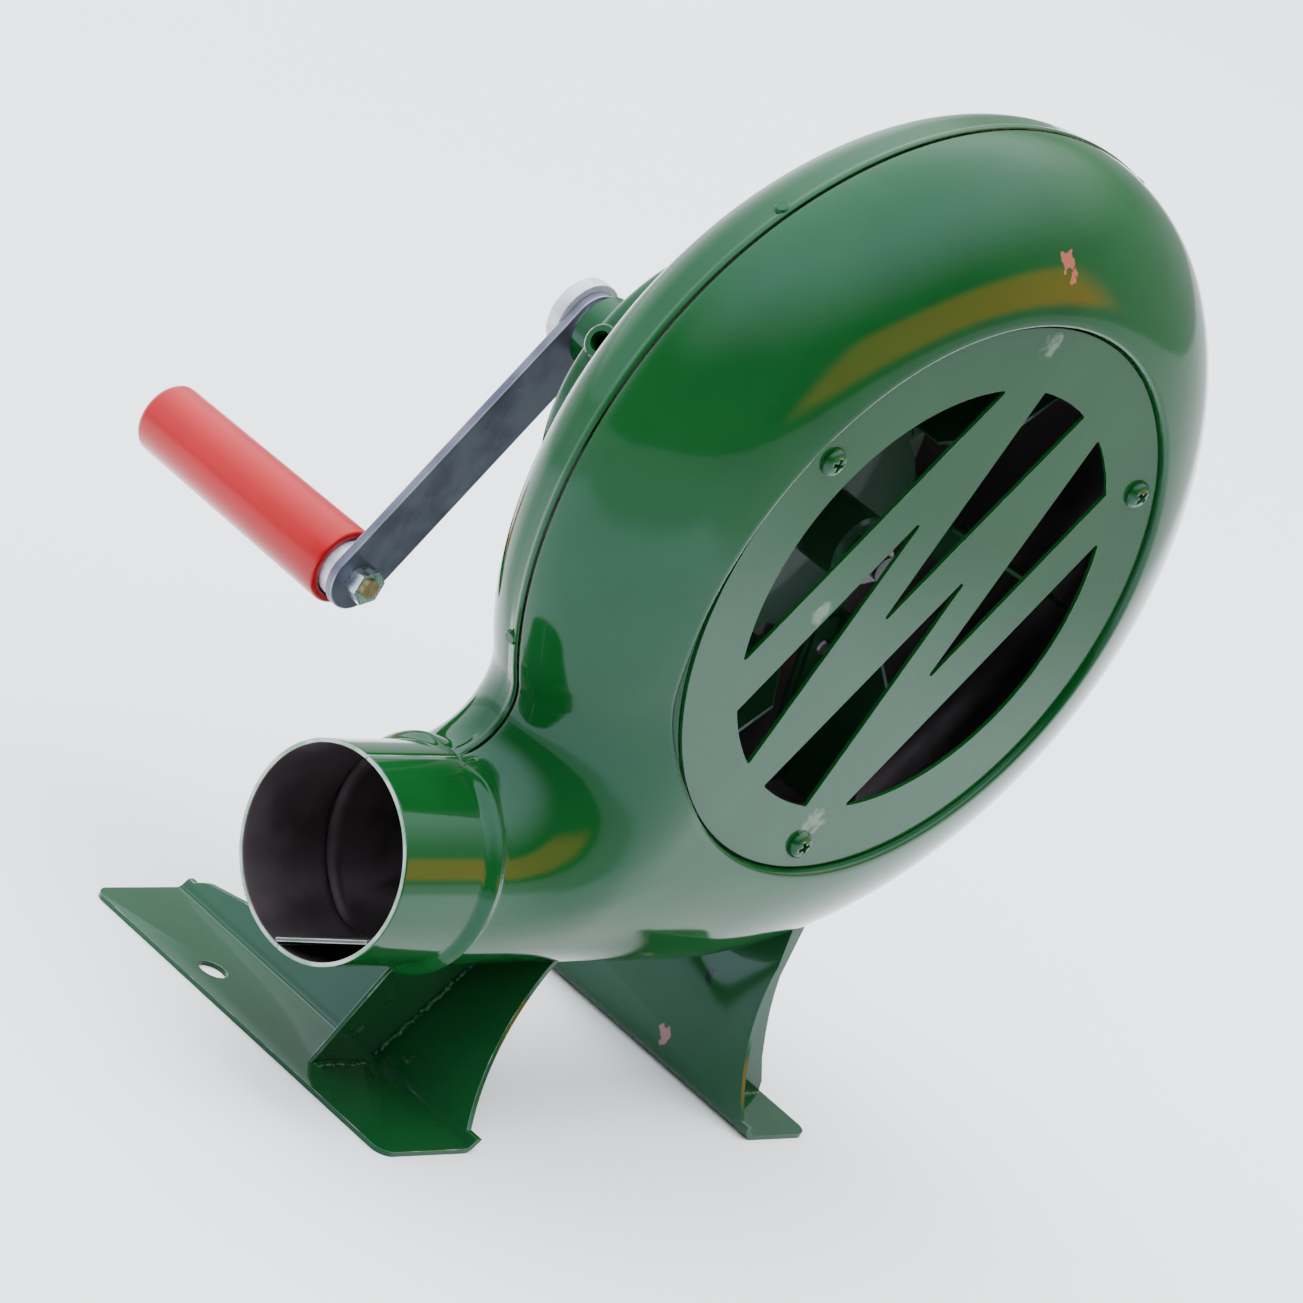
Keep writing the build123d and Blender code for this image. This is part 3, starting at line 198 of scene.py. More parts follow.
# %% Group: worn spot
def make_worn_spot():
    """A place where the coat has come off: ragged islands round a given point."""
    group, given, end = new_group("worn_spot", {"Centre": (0, 0, 0), "Size": 0.004}, ["Mask"])
    away = add(group, "ShaderNodeVectorMath", {0: given["Vector"], 1: given["Centre"]},
               operation="DISTANCE").outputs["Value"]
    noise = noise_at(group, given["Vector"], 330.0, 3.0)["Fac"]
    ragged = times(group, math_node(group, "SUBTRACT", noise, 0.5), 3.4)
    reach = math_node(group, "ADD", math_node(group, "DIVIDE", away, given["Size"]), ragged)
    wire(group, ramp_between(group, reach, 0.62, 0.50), end["Mask"])
    return group


worn_spot = make_worn_spot()

# %% [markdown]
# A material is a Principled shader fed by those groups. The helper below starts one, and
# gives back the shader's inputs and the Object coordinates that every pattern reads: they
# stay with the piece when it turns.

# %% Start of a material
def start_material(name, roughness, metallic=0.0, coat=0.0, coat_roughness=0.05, **more):
    """More settings of the shader are named with _ for each space."""
    material = bpy.data.materials.new(name)
    material.use_nodes = True
    tree = material.node_tree
    shader = tree.nodes["Principled BSDF"].inputs
    settings = {"Roughness": roughness, "Metallic": metallic, "Coat Weight": coat,
                "Coat Roughness": coat_roughness, "Coat IOR": 1.38}
    for label, value in {**settings, **more}.items():
        wire(tree, value, shader[label.replace("_", " ")])
    return material, tree, shader, add(tree, "ShaderNodeTexCoord").outputs["Object"]


def use_group(tree, group, place, **values):
    node = add(tree, "ShaderNodeGroup", node_tree=group)
    for label, value in {"Vector": place, **values}.items():
        wire(tree, value, node.inputs[label])
    return node.outputs


def patch_mask(tree, place, scale, low, high):
    return use_group(tree, patches, place, Scale=scale, Low=low, High=high)["Mask"]


def mix_colours(tree, factor, first, second):
    return add(tree, "ShaderNodeMix", {"Factor": factor, 6: first, 7: second},
               data_type="RGBA").outputs[2]


def bump(tree, shader, height, strength, distance):
    node = add(tree, "ShaderNodeBump",
               {"Strength": strength, "Distance": distance, "Height": height})
    wire(tree, node.outputs["Normal"], shader["Normal"])

# %% [markdown]
# The casing is enamelled a deep bottle green. A sprayed enamel is never flat: it has a
# slight orange-peel ripple, slow waves from the pressed sheet under it, paler and darker
# patches where it ran thick or thin, and a few specks and chips. At one place on the crest
# and one on the right foot it has come off in ragged islands, down to the primer. The gloss
# has a faint blue cast, with a thin clear coat over it.

# %% Material: green enamel
def make_enamel(name, deep, pale, coat=0.25, roughness=0.10, speck=0.975, spots=()):
    material, tree, shader, place = start_material(
        name, roughness, 0.0, coat, 0.06, Specular_IOR_Level=0.28, Specular_Tint=(0.48, 0.68, 0.95))
    colour = mix_colours(tree, patch_mask(tree, place, 9.0, 0.35, 0.7), deep, pale)
    faint = times(tree, patch_mask(tree, place, 55.0, 0.45, 0.8), 0.16)
    colour = mix_colours(tree, faint, colour, tuple(0.45 * c for c in deep))
    chip = use_group(tree, chips, place, Scale=48.0, Rarity=speck)["Mask"]
    colour = mix_colours(tree, chip, colour, (0.10, 0.16, 0.10))
    for centre, size, bare in spots:
        worn = use_group(tree, worn_spot, place, Centre=centre, Size=size)["Mask"]
        colour = mix_colours(tree, worn, colour, bare)
    wire(tree, colour, shader["Base Color"])
    peel = noise_at(tree, place, 210.0, 2.0)["Fac"]
    waves = noise_at(tree, place, 17.0, 1.0)["Fac"]
    ripple = weighted(tree, peel, 0.05, waves, 0.9)
    height = math_node(tree, "SUBTRACT", ripple, times(tree, chip, 0.08))
    bump(tree, shader, height, 0.35, 0.0012)
    return material


PRIMER_RED = (0.28, 0.085, 0.055)
PRIMER_PINK = (0.26, 0.13, 0.13)
STAIN = (0.012, 0.022, 0.016)
enamel = make_enamel("green_enamel", (0.0035, 0.052, 0.008), (0.0065, 0.068, 0.013),
                     spots=[((0.0302, -0.0801, 0.2885), 0.0042, PRIMER_RED),
                            ((0.0330, -0.0816, 0.2840), 0.0026, PRIMER_RED)])
foot_enamel = make_enamel("foot_enamel", (0.004, 0.044, 0.010), (0.008, 0.058, 0.016), speck=0.88,
                          spots=[((0.0640, -0.0503, 0.0095), 0.0042, PRIMER_PINK),
                                 ((0.0640, -0.0554, 0.0341), 0.0034, STAIN)])
fan_enamel = make_enamel("fan_enamel", (0.010, 0.050, 0.018), (0.016, 0.070, 0.026), roughness=0.40)

# %% [markdown]
# Where the sheet was cut after painting, or the coat has worn off the corner, a thin pale
# line of bare metal shows. The rims of the shells get this finish instead of enamel. Enamel
# on a rounded edge is only rubbed through here and there. The plates in the gear case have
# a grey-green paint. All three are one patchy finish in two tones.

# %% Materials: worn and rubbed edges, plate paint
def make_two_tone(name, surface, cloud, tones, relief, **more):
    """surface is roughness, metal, coat and its roughness; cloud is scale, low and high."""
    material, tree, shader, place = start_material(name, *surface, **more)
    mask = patch_mask(tree, place, *cloud)
    wire(tree, mix_colours(tree, mask, *tones), shader["Base Color"])
    bump(tree, shader, mask, *relief)
    return material


worn_edge = make_two_tone("worn_edge", (0.38, 0.35, 0.25, 0.1), (85.0, 0.40, 0.62),
                          ((0.16, 0.30, 0.20), (0.42, 0.47, 0.44)), (0.2, 0.0003))
rubbed_edge = make_two_tone("rubbed_edge", (0.34, 0.0, 0.9, 0.07), (120.0, 0.50, 0.66),
                            ((0.022, 0.115, 0.040), (0.24, 0.34, 0.28)), (0.15, 0.0002),
                            Specular_IOR_Level=0.2)
plate_paint = make_two_tone("plate_paint", (0.45, 0.0, 0.3, 0.2), (30.0, 0.35, 0.7),
                            ((0.13, 0.19, 0.15), (0.20, 0.27, 0.22)), (0.2, 0.0004))


# %% Material: dark primer inside the outlet
def make_primer():
    material, tree, shader, place = start_material("inner_primer", 0.42, 0.0, 0.15, 0.25)
    dust = patch_mask(tree, place, 40.0, 0.35, 0.75)
    colour = mix_colours(tree, dust, (0.020, 0.019, 0.022), (0.050, 0.045, 0.048))
    rust = times(tree, patch_mask(tree, place, 14.0, 0.55, 0.75), 0.5)
    wire(tree, mix_colours(tree, rust, colour, (0.085, 0.040, 0.030)), shader["Base Color"])
    bump(tree, shader, dust, 0.25, 0.0004)
    return material


primer = make_primer()

# %% [markdown]
# Bare metals: a dark mill-finish bar for the arm, light turned steel for the hub and the
# sleeve, blue-white zinc on the nut, a yellow passivated bolt, and the dull brown inside of
# the casing.

# %% Materials: metals
def make_metal(name, dark, light, roughness, metallic=1.0, across=900.0, along=12.0, bite=0.3,
               cloud=0.5):
    material, tree, shader, place = start_material(name, roughness, metallic)
    grain = use_group(tree, fine_lines, place, Across=across, Along=along)
    mixed = weighted(tree, grain["Lines"], 1.0 - cloud, grain["Clouds"], cloud)
    level = ramp_between(tree, mixed, 0.36, 0.64)
    wire(tree, mix_colours(tree, level, dark, light), shader["Base Color"])
    spread = add(tree, "ShaderNodeMapRange", {"Value": level, "To Min": max(0.05, roughness - 0.08),
                                              "To Max": roughness + 0.1})
    wire(tree, spread.outputs["Result"], shader["Roughness"])
    bump(tree, shader, mixed, bite, 0.0002)
    return material


# dark and light tone, roughness, metal, lines across and along, bite of the relief, clouds
bar_steel = make_metal("mill_bar_steel", (0.090, 0.090, 0.140), (0.17, 0.17, 0.235), 0.42, 0.75,
                       160.0, 60.0, 0.35, 0.75)
bar_edge = make_metal("bar_edge_steel", (0.22, 0.22, 0.27), (0.36, 0.36, 0.42), 0.36, 0.85,
                      160.0, 60.0, 0.3, 0.6)
turned_steel = make_metal("turned_steel", (0.56, 0.54, 0.63), (0.72, 0.70, 0.78), 0.42, 0.5,
                          700.0, 700.0, 0.25, 0.5)
gear_steel = make_metal("gear_steel", (0.20, 0.20, 0.21), (0.34, 0.34, 0.35), 0.35)
zinc = make_metal("zinc_plate", (0.50, 0.60, 0.64), (0.70, 0.78, 0.80), 0.22, 1.0,
                  400.0, 400.0, 0.15, 0.5)
yellow_steel = make_metal("yellow_passivated", (0.36, 0.22, 0.10), (0.55, 0.38, 0.18), 0.38, 0.9,
                          400.0, 400.0, 0.2, 0.5)
bronze = make_metal("bush_bronze", (0.34, 0.20, 0.08), (0.50, 0.32, 0.14), 0.38)
inner_sheet = make_metal("bare_inner_sheet", (0.060, 0.046, 0.052), (0.090, 0.070, 0.078), 0.45,
                         0.45, 60.0, 60.0, 0.2, 0.8)

# %% [markdown]
# The grip is a red moulding: strong colour all through, a soft gloss, slow patches of a
# slightly paler red and a faint ripple.

# %% Material: red grip
def make_red_grip():
    material, tree, shader, place = start_material("red_grip", 0.30, 0.0, 0.4, 0.12,
                                                   Specular_IOR_Level=0.15)
    cloud = patch_mask(tree, place, 22.0, 0.3, 0.75)
    wire(tree, mix_colours(tree, cloud, (0.36, 0.0006, 0.005), (0.40, 0.0010, 0.007)),
         shader["Base Color"])
    bump(tree, shader, noise_at(tree, place, 260.0, 2.0)["Fac"], 0.06, 0.0004)
    return material


red_grip = make_red_grip()

# %% [markdown]
# Pieces are made as plain lists of points and faces. The helper turns them into an object
# that sits at the origin, gives it a material and smooth shading, and hands it to its body.

# %% Making a piece
EDGE_SHARP = math.radians(22.0)
FLAT_WITHIN = math.radians(0.6)


def new_object(name, mesh, materials=(), smooth=True):
    for material in materials:
        mesh.materials.append(material)
    mesh.polygons.foreach_set("use_smooth", [smooth] * len(mesh.polygons))
    piece = bpy.data.objects.new(name, mesh)
    bpy.context.scene.collection.objects.link(piece)
    return piece


def remove_object(piece):
    mesh = piece.data
    bpy.data.objects.remove(piece)
    bpy.data.meshes.remove(mesh)


def make_piece(name, points, faces, materials, smooth=True):
    mesh = bpy.data.meshes.new(name)
    mesh.from_pydata([tuple(p) for p in points], [], faces)
    mesh.update()
    mesh.validate()
    return new_object(name, mesh, materials, smooth)


def modify(piece, name, kind, **settings):
    modifier = piece.modifiers.new(name, kind)
    for key, value in settings.items():
        setattr(modifier, key, value)
    return modifier


def bake(piece):
    """Applies all modifiers of a piece by turning its evaluated form into a plain mesh."""
    view = bpy.context.evaluated_depsgraph_get()
    view.update()
    mesh = bpy.data.meshes.new_from_object(piece.evaluated_get(view))
    old = piece.data
    piece.modifiers.clear()
    piece.data = mesh
    bpy.data.meshes.remove(old)


def break_edges(piece, width, limit):
    """Bevels the edges above an angle, in the piece's second material, and bakes it."""
    modify(piece, "edge", "BEVEL", width=width * 0.001, segments=2, limit_method="ANGLE",
           angle_limit=math.radians(limit), material=1)
    bake(piece)
    piece.data.set_sharp_from_angle(angle=EDGE_SHARP)


def finish_piece(piece, body, replaced):
    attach(piece, body)
    if replaced:
        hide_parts(*replaced)
    print(piece.name, len(piece.data.polygons), "faces")

# %% [markdown]
# A cut sheet never has a knife edge. A bevelled copy of a CAD piece merges its triangles into
# whole faces, rounds every corner a little and gives the rounding a finish of its own, so
# that each edge catches the light.

# %% Bevelled copy of CAD pieces
def bevelled_copy(name, sources, body, width, face_material, edge_material):
    grid = bmesh.new()
    for source in sources:
        grid.from_mesh(nodes[source].data)
    bmesh.ops.remove_doubles(grid, verts=grid.verts, dist=2e-6)
    bmesh.ops.dissolve_limit(grid, angle_limit=FLAT_WITHIN, verts=grid.verts, edges=grid.edges)
    mesh = bpy.data.meshes.new(name)
    grid.to_mesh(mesh)
    grid.free()
    mesh.polygons.foreach_set("material_index", [0] * len(mesh.polygons))
    piece = new_object(name, mesh, [face_material, edge_material])
    break_edges(piece, width, 32.0)
    finish_piece(piece, body, sources)


# %% Turned pieces
def revolve(profile, segments, closed):
    """Turns (radius, y) points round the Y axis; a closed profile joins its end to its start."""
    points, faces = [], []
    count = len(profile)
    for s in range(segments):
        turn = 2 * math.pi * s / segments
        points += [(r * math.cos(turn), y, r * math.sin(turn)) for r, y in profile]
        n = (s + 1) % segments
        for i in range(count if closed else count - 1):
            j = (i + 1) % count
            faces.append((s * count + i, n * count + i, n * count + j, s * count + j))
    return points, faces


def turned(name, profile, axis_x, axis_z, material, segments=96):
    """A solid of revolution whose axis is parallel to the fan's."""
    points, faces = revolve(profile, segments, True)
    places = [at(axis_x + x, y, axis_z + z) for x, y, z in points]
    piece = make_piece(name, places, faces, [material])
    face_outwards(piece)
    return piece


def face_outwards(piece):
    grid = bmesh.new()
    grid.from_mesh(piece.data)
    bmesh.ops.remove_doubles(grid, verts=grid.verts, dist=1e-7)
    bmesh.ops.recalc_face_normals(grid, faces=grid.faces)
    grid.to_mesh(piece.data)
    grid.free()


CORNER_STEPS = 4


def rounded(profile, radius_at):
    """Rounds the corners of a closed (radius, y) profile; radius_at maps an index to a radius."""
    result = []
    count = len(profile)
    for i, corner in enumerate(profile):
        radius = radius_at.get(i, 0.0)
        if radius == 0.0:
            result.append(corner)
            continue
        c = Vector(corner)
        before = (Vector(profile[i - 1]) - c).normalized()
        after = (Vector(profile[(i + 1) % count]) - c).normalized()
        half = before.angle(after) / 2
        reach = radius / math.tan(half)
        a, b = c + before * reach, c + after * reach
        middle = c + (before + after).normalized() * (radius / math.sin(half))
        for k in range(CORNER_STEPS + 1):
            p = a.lerp(b, k / CORNER_STEPS)
            result.append(tuple(middle + (p - middle).normalized() * radius))
    return result

# %% [markdown]
# Some shapes repeat: the screws of the cover stand on a circle, the drops of a weld in a row.
# Geometry Nodes sets such copies of a template on points and gives real geometry with its
# material. The first group makes a ring from a count, a radius and a first angle.

# %% Tools for Geometry Nodes
def new_geometry_group(name, **kinds):
    """Starts a group; also gives the identifier of each named input."""
    group = bpy.data.node_groups.new(name, "GeometryNodeTree")
    names = {}
    for label, kind in kinds.items():
        kind = "NodeSocket" + kind
        socket = group.interface.new_socket(name=label, in_out="INPUT", socket_type=kind)
        names[label] = socket.identifier
    group.interface.new_socket(name="Geometry", in_out="OUTPUT", socket_type="NodeSocketGeometry")
    return group, names, add(group, "NodeGroupInput").outputs


def set_copies(group, given, points, **placing):
    """Ends a group: the template stands on each point, and is made real and painted."""
    template = add(group, "GeometryNodeObjectInfo", {"Object": given["Template"]},
                   transform_space="ORIGINAL").outputs["Geometry"]
    stand = add(group, "GeometryNodeInstanceOnPoints",
                {"Points": points, "Instance": template, **placing})
    real = add(group, "GeometryNodeRealizeInstances", {0: stand.outputs[0]})
    paint = add(group, "GeometryNodeSetMaterial",
                {"Geometry": real.outputs[0], "Material": given["Material"]})
    add(group, "NodeGroupOutput", {0: paint.outputs[0]})


def with_nodes(name, group, names, **values):
    """An empty piece that a Geometry Nodes group fills from its named values."""
    piece = new_object(name, bpy.data.meshes.new(name))
    modifier = modify(piece, "nodes", "NODES", node_group=group)
    for label, value in values.items():
        modifier[names[label]] = value
    return piece


# %% Geometry Nodes: a ring of pieces
def make_ring_group():
    group, names, given = new_geometry_group(
        "ring_of_pieces", Template="Object", Count="Int", Radius="Float", First="Float",
        Centre="Vector", Material="Material")
    step = math_node(group, "DIVIDE", 2 * math.pi, given["Count"])
    index = add(group, "GeometryNodeInputIndex").outputs[0]
    angle = math_node(group, "ADD", given["First"], times(group, index, step))
    across, up = (times(group, math_node(group, function, angle), given["Radius"])
                  for function in ("COSINE", "SINE"))
    offset = add(group, "ShaderNodeCombineXYZ", {"X": across, "Z": up}).outputs[0]
    place = add(group, "ShaderNodeVectorMath", {0: given["Centre"], 1: offset}, operation="ADD")
    dots = add(group, "GeometryNodePoints", {"Count": given["Count"], "Position": place.outputs[0]})
    spin = add(group, "ShaderNodeCombineXYZ", {"Y": times(group, angle, -1.0)})
    set_copies(group, given, dots.outputs[0], Rotation=spin.outputs[0])
    return group, names


ring_group, ring_names = make_ring_group()


def ring_of(name, template, count, radius, first, centre, material, body, replaced):
    """A ring of copies of a template whose own origin is its place on the ring."""
    piece = with_nodes(name, ring_group, ring_names, Template=template, Count=count,
                       Radius=radius * 0.001, First=math.radians(first), Centre=at(*centre),
                       Material=material)
    bake(piece)
    remove_object(template)
    finish_piece(piece, body, replaced)

# %% [markdown]
# ## The casing
# Seen along the fan axis the casing is a volute of three arcs that share tangents: a main
# arc round the fan, a wider one under it and a tighter one towards the outlet, which turns
# into the outlet through a small hollow corner. Each half bulges out from that outline by
# a depth that only depends on the distance from it. A surface that follows a rule like
# this is best made by computing it on columns of points across the shell, much finer than
# the CAD's facets, so that the gloss runs over it without a ripple.

# %% Outline of the volute
CASE_R = 132.6
SCROLL_R, SCROLL_C = 146.6, (-12.124, 7.0)
TONGUE_R, TONGUE_C = 116.6, (-10.285, 12.257)
NECK_R = 16.0
PIPE_R = 31.5
PIPE_Z = -107.7
PIPE_TOP = PIPE_Z + PIPE_R
FLOOR = SCROLL_C[1] - SCROLL_R
NECK_DROP = TONGUE_C[1] - PIPE_TOP - NECK_R
NECK_C = (TONGUE_C[0] - math.sqrt((TONGUE_R + NECK_R) ** 2 - NECK_DROP ** 2), PIPE_TOP + NECK_R)
NECK_FROM = math.degrees(math.atan2(TONGUE_C[1] - NECK_C[1], TONGUE_C[0] - NECK_C[0]))
BEAD_X = -118.0
MOUTH_X = -154.3


def inside_outline(x, z):
    """Distance in from the outline to the upper or outer side, and to the neck's floor."""
    angle = math.degrees(math.atan2(z, x))
    floor = z - FLOOR if x < SCROLL_C[0] else 1e6
    if -30.0 <= angle <= 130.0:
        return CASE_R - math.hypot(x, z), floor
    dx, dz = x - SCROLL_C[0], z - SCROLL_C[1]
    if x >= SCROLL_C[0] and z < 0:
        return SCROLL_R - math.hypot(dx, dz), floor
    tx, tz = x - TONGUE_C[0], z - TONGUE_C[1]
    bearing = math.degrees(math.atan2(tz, tx)) % 360.0
    if bearing <= 180.0 + NECK_FROM:
        return TONGUE_R - math.hypot(tx, tz), floor
    if x < NECK_C[0]:
        return PIPE_TOP - z, floor
    return math.hypot(x - NECK_C[0], z - NECK_C[1]) - NECK_R, floor


# %% Depth of the two halves
RIM_ARC = 27.0
CREST_IN = 50.0
FRONT_DEPTH = 38.4
FACE_ARC = ((CREST_IN ** 2 - 2 * CREST_IN * RIM_ARC + FRONT_DEPTH ** 2)
            / (2 * (FRONT_DEPTH - RIM_ARC)))
REAR_DEPTH = 22.5
REAR_ARC = 18.0


def front_bulge(d):
    """Depth of the front half at a distance d in from the outline."""
    d = max(d, 0.0)
    if d >= CREST_IN:
        return FRONT_DEPTH
    away = math.hypot(CREST_IN - RIM_ARC, FRONT_DEPTH - FACE_ARC)
    meet = RIM_ARC - RIM_ARC * (CREST_IN - RIM_ARC) / away
    if d < meet:
        return math.sqrt(max(0.0, RIM_ARC ** 2 - (RIM_ARC - d) ** 2))
    return FRONT_DEPTH - FACE_ARC + math.sqrt(FACE_ARC ** 2 - (CREST_IN - d) ** 2)


def rear_bulge(d):
    d = max(d, 0.0)
    wall = REAR_DEPTH - REAR_ARC
    if d >= REAR_ARC:
        return REAR_DEPTH
    return wall * min(1.0, d / 0.4) + math.sqrt(max(0.0, REAR_ARC ** 2 - (REAR_ARC - d) ** 2))


def pipe_bulge(d):
    d = min(max(d, 0.0), PIPE_R)
    return math.sqrt(max(0.0, PIPE_R ** 2 - (PIPE_R - d) ** 2))


def soft_least(a, b, reach):
    if reach < 1e-6:
        return min(a, b)
    h = max(reach - abs(a - b), 0.0) / reach
    return min(a, b) - h * h * reach * 0.25


def depth_at(x, z, side):
    upper, floor = inside_outline(x, z)
    least = min(upper, floor)
    if x > -30.0 or z > -20.0:
        away = soft_least(upper, floor, 12.0 * smoothstep(-12.0, -40.0, x)) if side < 0 else least
        return front_bulge(away) if side < 0 else rear_bulge(least)
    plain = smoothstep(-48.0, -20.0, z)
    toward = 1.0 - (1.0 - smoothstep(BEAD_X, -72.0, x)) * (1.0 - plain)
    if side < 0:
        soft = soft_least(upper, floor, 12.0 * toward)
        return (1.0 - toward) * pipe_bulge(least) + toward * front_bulge(soft)
    flat = rear_bulge(least)
    lean = min(1.0, max(0.0, (x - BEAD_X) / 78.0))
    ridge = (1.0 - lean) * PIPE_R + lean * (REAR_DEPTH - 0.2)
    off = (z - PIPE_Z) / PIPE_R
    fairing = ridge * math.sqrt(max(0.0, 1.0 - off * off))
    back = max(flat, fairing)
    toward = 1.0 - (1.0 - smoothstep(BEAD_X, -96.0, x)) * (1.0 - plain)
    return (1.0 - toward) * pipe_bulge(least) + toward * back

# %% [markdown]
# The outline itself is walked arc by arc. From every point of it a straight column of points
# runs to the seat of the intake cover. Round the hollow corner the columns lean over, so that
# none of them crosses it, and the outlet then carries its columns on to the mouth.

# %% Walk round the outline
PIPE_STEPS = 56
MOUTH_STEPS = 40
FLOOR_STEPS = 54
BEAD_HALF = 4.2


def arc_points(centre, radius, start, end, step):
    """Points of an arc after its start, so that one arc can follow another."""
    count = max(2, round(abs(end - start) * math.pi / 180.0 * radius / step))
    return [round_about(radius, start + (end - start) * i / count, *centre)
            for i in range(1, count + 1)]


def outline_points():
    """Rim of the outlet from top to bottom, then the rest of the outline back to its start."""
    rim = []
    for i in range(PIPE_STEPS + 1):
        rim.append((BEAD_X, PIPE_Z + PIPE_R * math.cos(math.pi * i / PIPE_STEPS)))
    run = SCROLL_C[0] - BEAD_X
    rest = [(BEAD_X + run * i / FLOOR_STEPS, FLOOR) for i in range(FLOOR_STEPS + 1)]
    rest += arc_points(SCROLL_C, SCROLL_R, -90.0, -30.0, 2.1)
    rest += arc_points((0.0, 0.0), CASE_R, -30.0, 130.0, 2.1)
    rest += arc_points(TONGUE_C, TONGUE_R, 130.0, 180.0 + NECK_FROM, 1.7)
    corner_end = -math.degrees(math.acos((BEAD_X - NECK_C[0]) / NECK_R))
    corner = arc_points(NECK_C, NECK_R, NECK_FROM, corner_end, 0.8)
    return rim, rest + corner, len(corner)


def seat_angle(x, z):
    """Where on the cover's seat the column of an outline point ends, degrees."""
    bearing = math.degrees(math.atan2(z, x)) % 360.0
    lean = smoothstep(150.0, 212.0, bearing) * smoothstep(318.0, 236.0, bearing)
    return bearing + 18.0 * lean


def seat_angles(rim, rest, corner):
    """Seat angle of every column; round the hollow corner they go on in even steps."""
    angles = [seat_angle(*p) for p in rim + rest]
    first = angles[-corner - 1]
    for k in range(1, corner + 1):
        angles[-corner - 1 + k] = first + (angles[0] - first) * k / (corner + 1)
    return angles


rim_points, open_points, corner_count = outline_points()
seats = seat_angles(rim_points, open_points, corner_count)

BEAD_RISE = 2.3


def bead_lift(x, y, z):
    """Height of the raised ring at a point of the pipe; it dies away next to the seam."""
    off = abs(x - BEAD_X)
    reach = math.hypot(y, z - PIPE_Z)
    if off > BEAD_HALF or reach > PIPE_R + 3.0:
        return 0.0
    round_turn = abs(math.degrees(math.atan2(y, z - PIPE_Z)))
    fade = smoothstep(6.0, 26.0, round_turn) * smoothstep(174.0, 154.0, round_turn)
    near = smoothstep(PIPE_R + 3.0, PIPE_R + 0.8, reach)
    return near * BEAD_RISE * fade * (0.5 + 0.5 * math.cos(math.pi * off / BEAD_HALF))

# %% [markdown]
# The two halves don't meet in a perfect line. The front half ends in a soft edge just short
# of the seam, the rear half in a slightly raised lip, and a dark hairline stays open between
# them. Those last millimetres are a small profile of their own: depth from the seam, and how
# far it stands out from the outline.

# %% Half shells
FRONT_LIP = [(3.4, 0.0), (2.4, 0.0), (1.5, 0.0), (0.90, -0.02), (0.45, -0.12), (0.24, -0.35),
             (0.20, -0.7)]
REAR_LIP = [(3.6, 0.0), (2.7, 0.03), (2.2, 0.22), (1.8, 0.42), (1.2, 0.48), (0.45, 0.40),
            (0.16, 0.10)]
SEAT_R = 90.3
SEAT_Y = 34.7
INTAKE_R = 74.5
WALL = 1.2


def shell_rows(side):
    """Fractions of the way from the inner ring to the outline, closer together at the rim."""
    count = 44 if side < 0 else 60
    return [math.sin(0.5 * math.pi * i / count) for i in range(count - 3)]


def open_normals():
    """Outward direction at each point of the open outline, and how far its lip has faded."""
    normals = []
    total = len(open_points)
    for i in range(total):
        before = open_points[max(0, i - 1)]
        after = open_points[min(total - 1, i + 1)]
        dx, dz = after[0] - before[0], after[1] - before[1]
        size = math.hypot(dx, dz)
        far = min(i, total - 1 - i)
        normals.append((dz / size, -dx / size, smoothstep(0.0, 9.0, far)))
    return normals


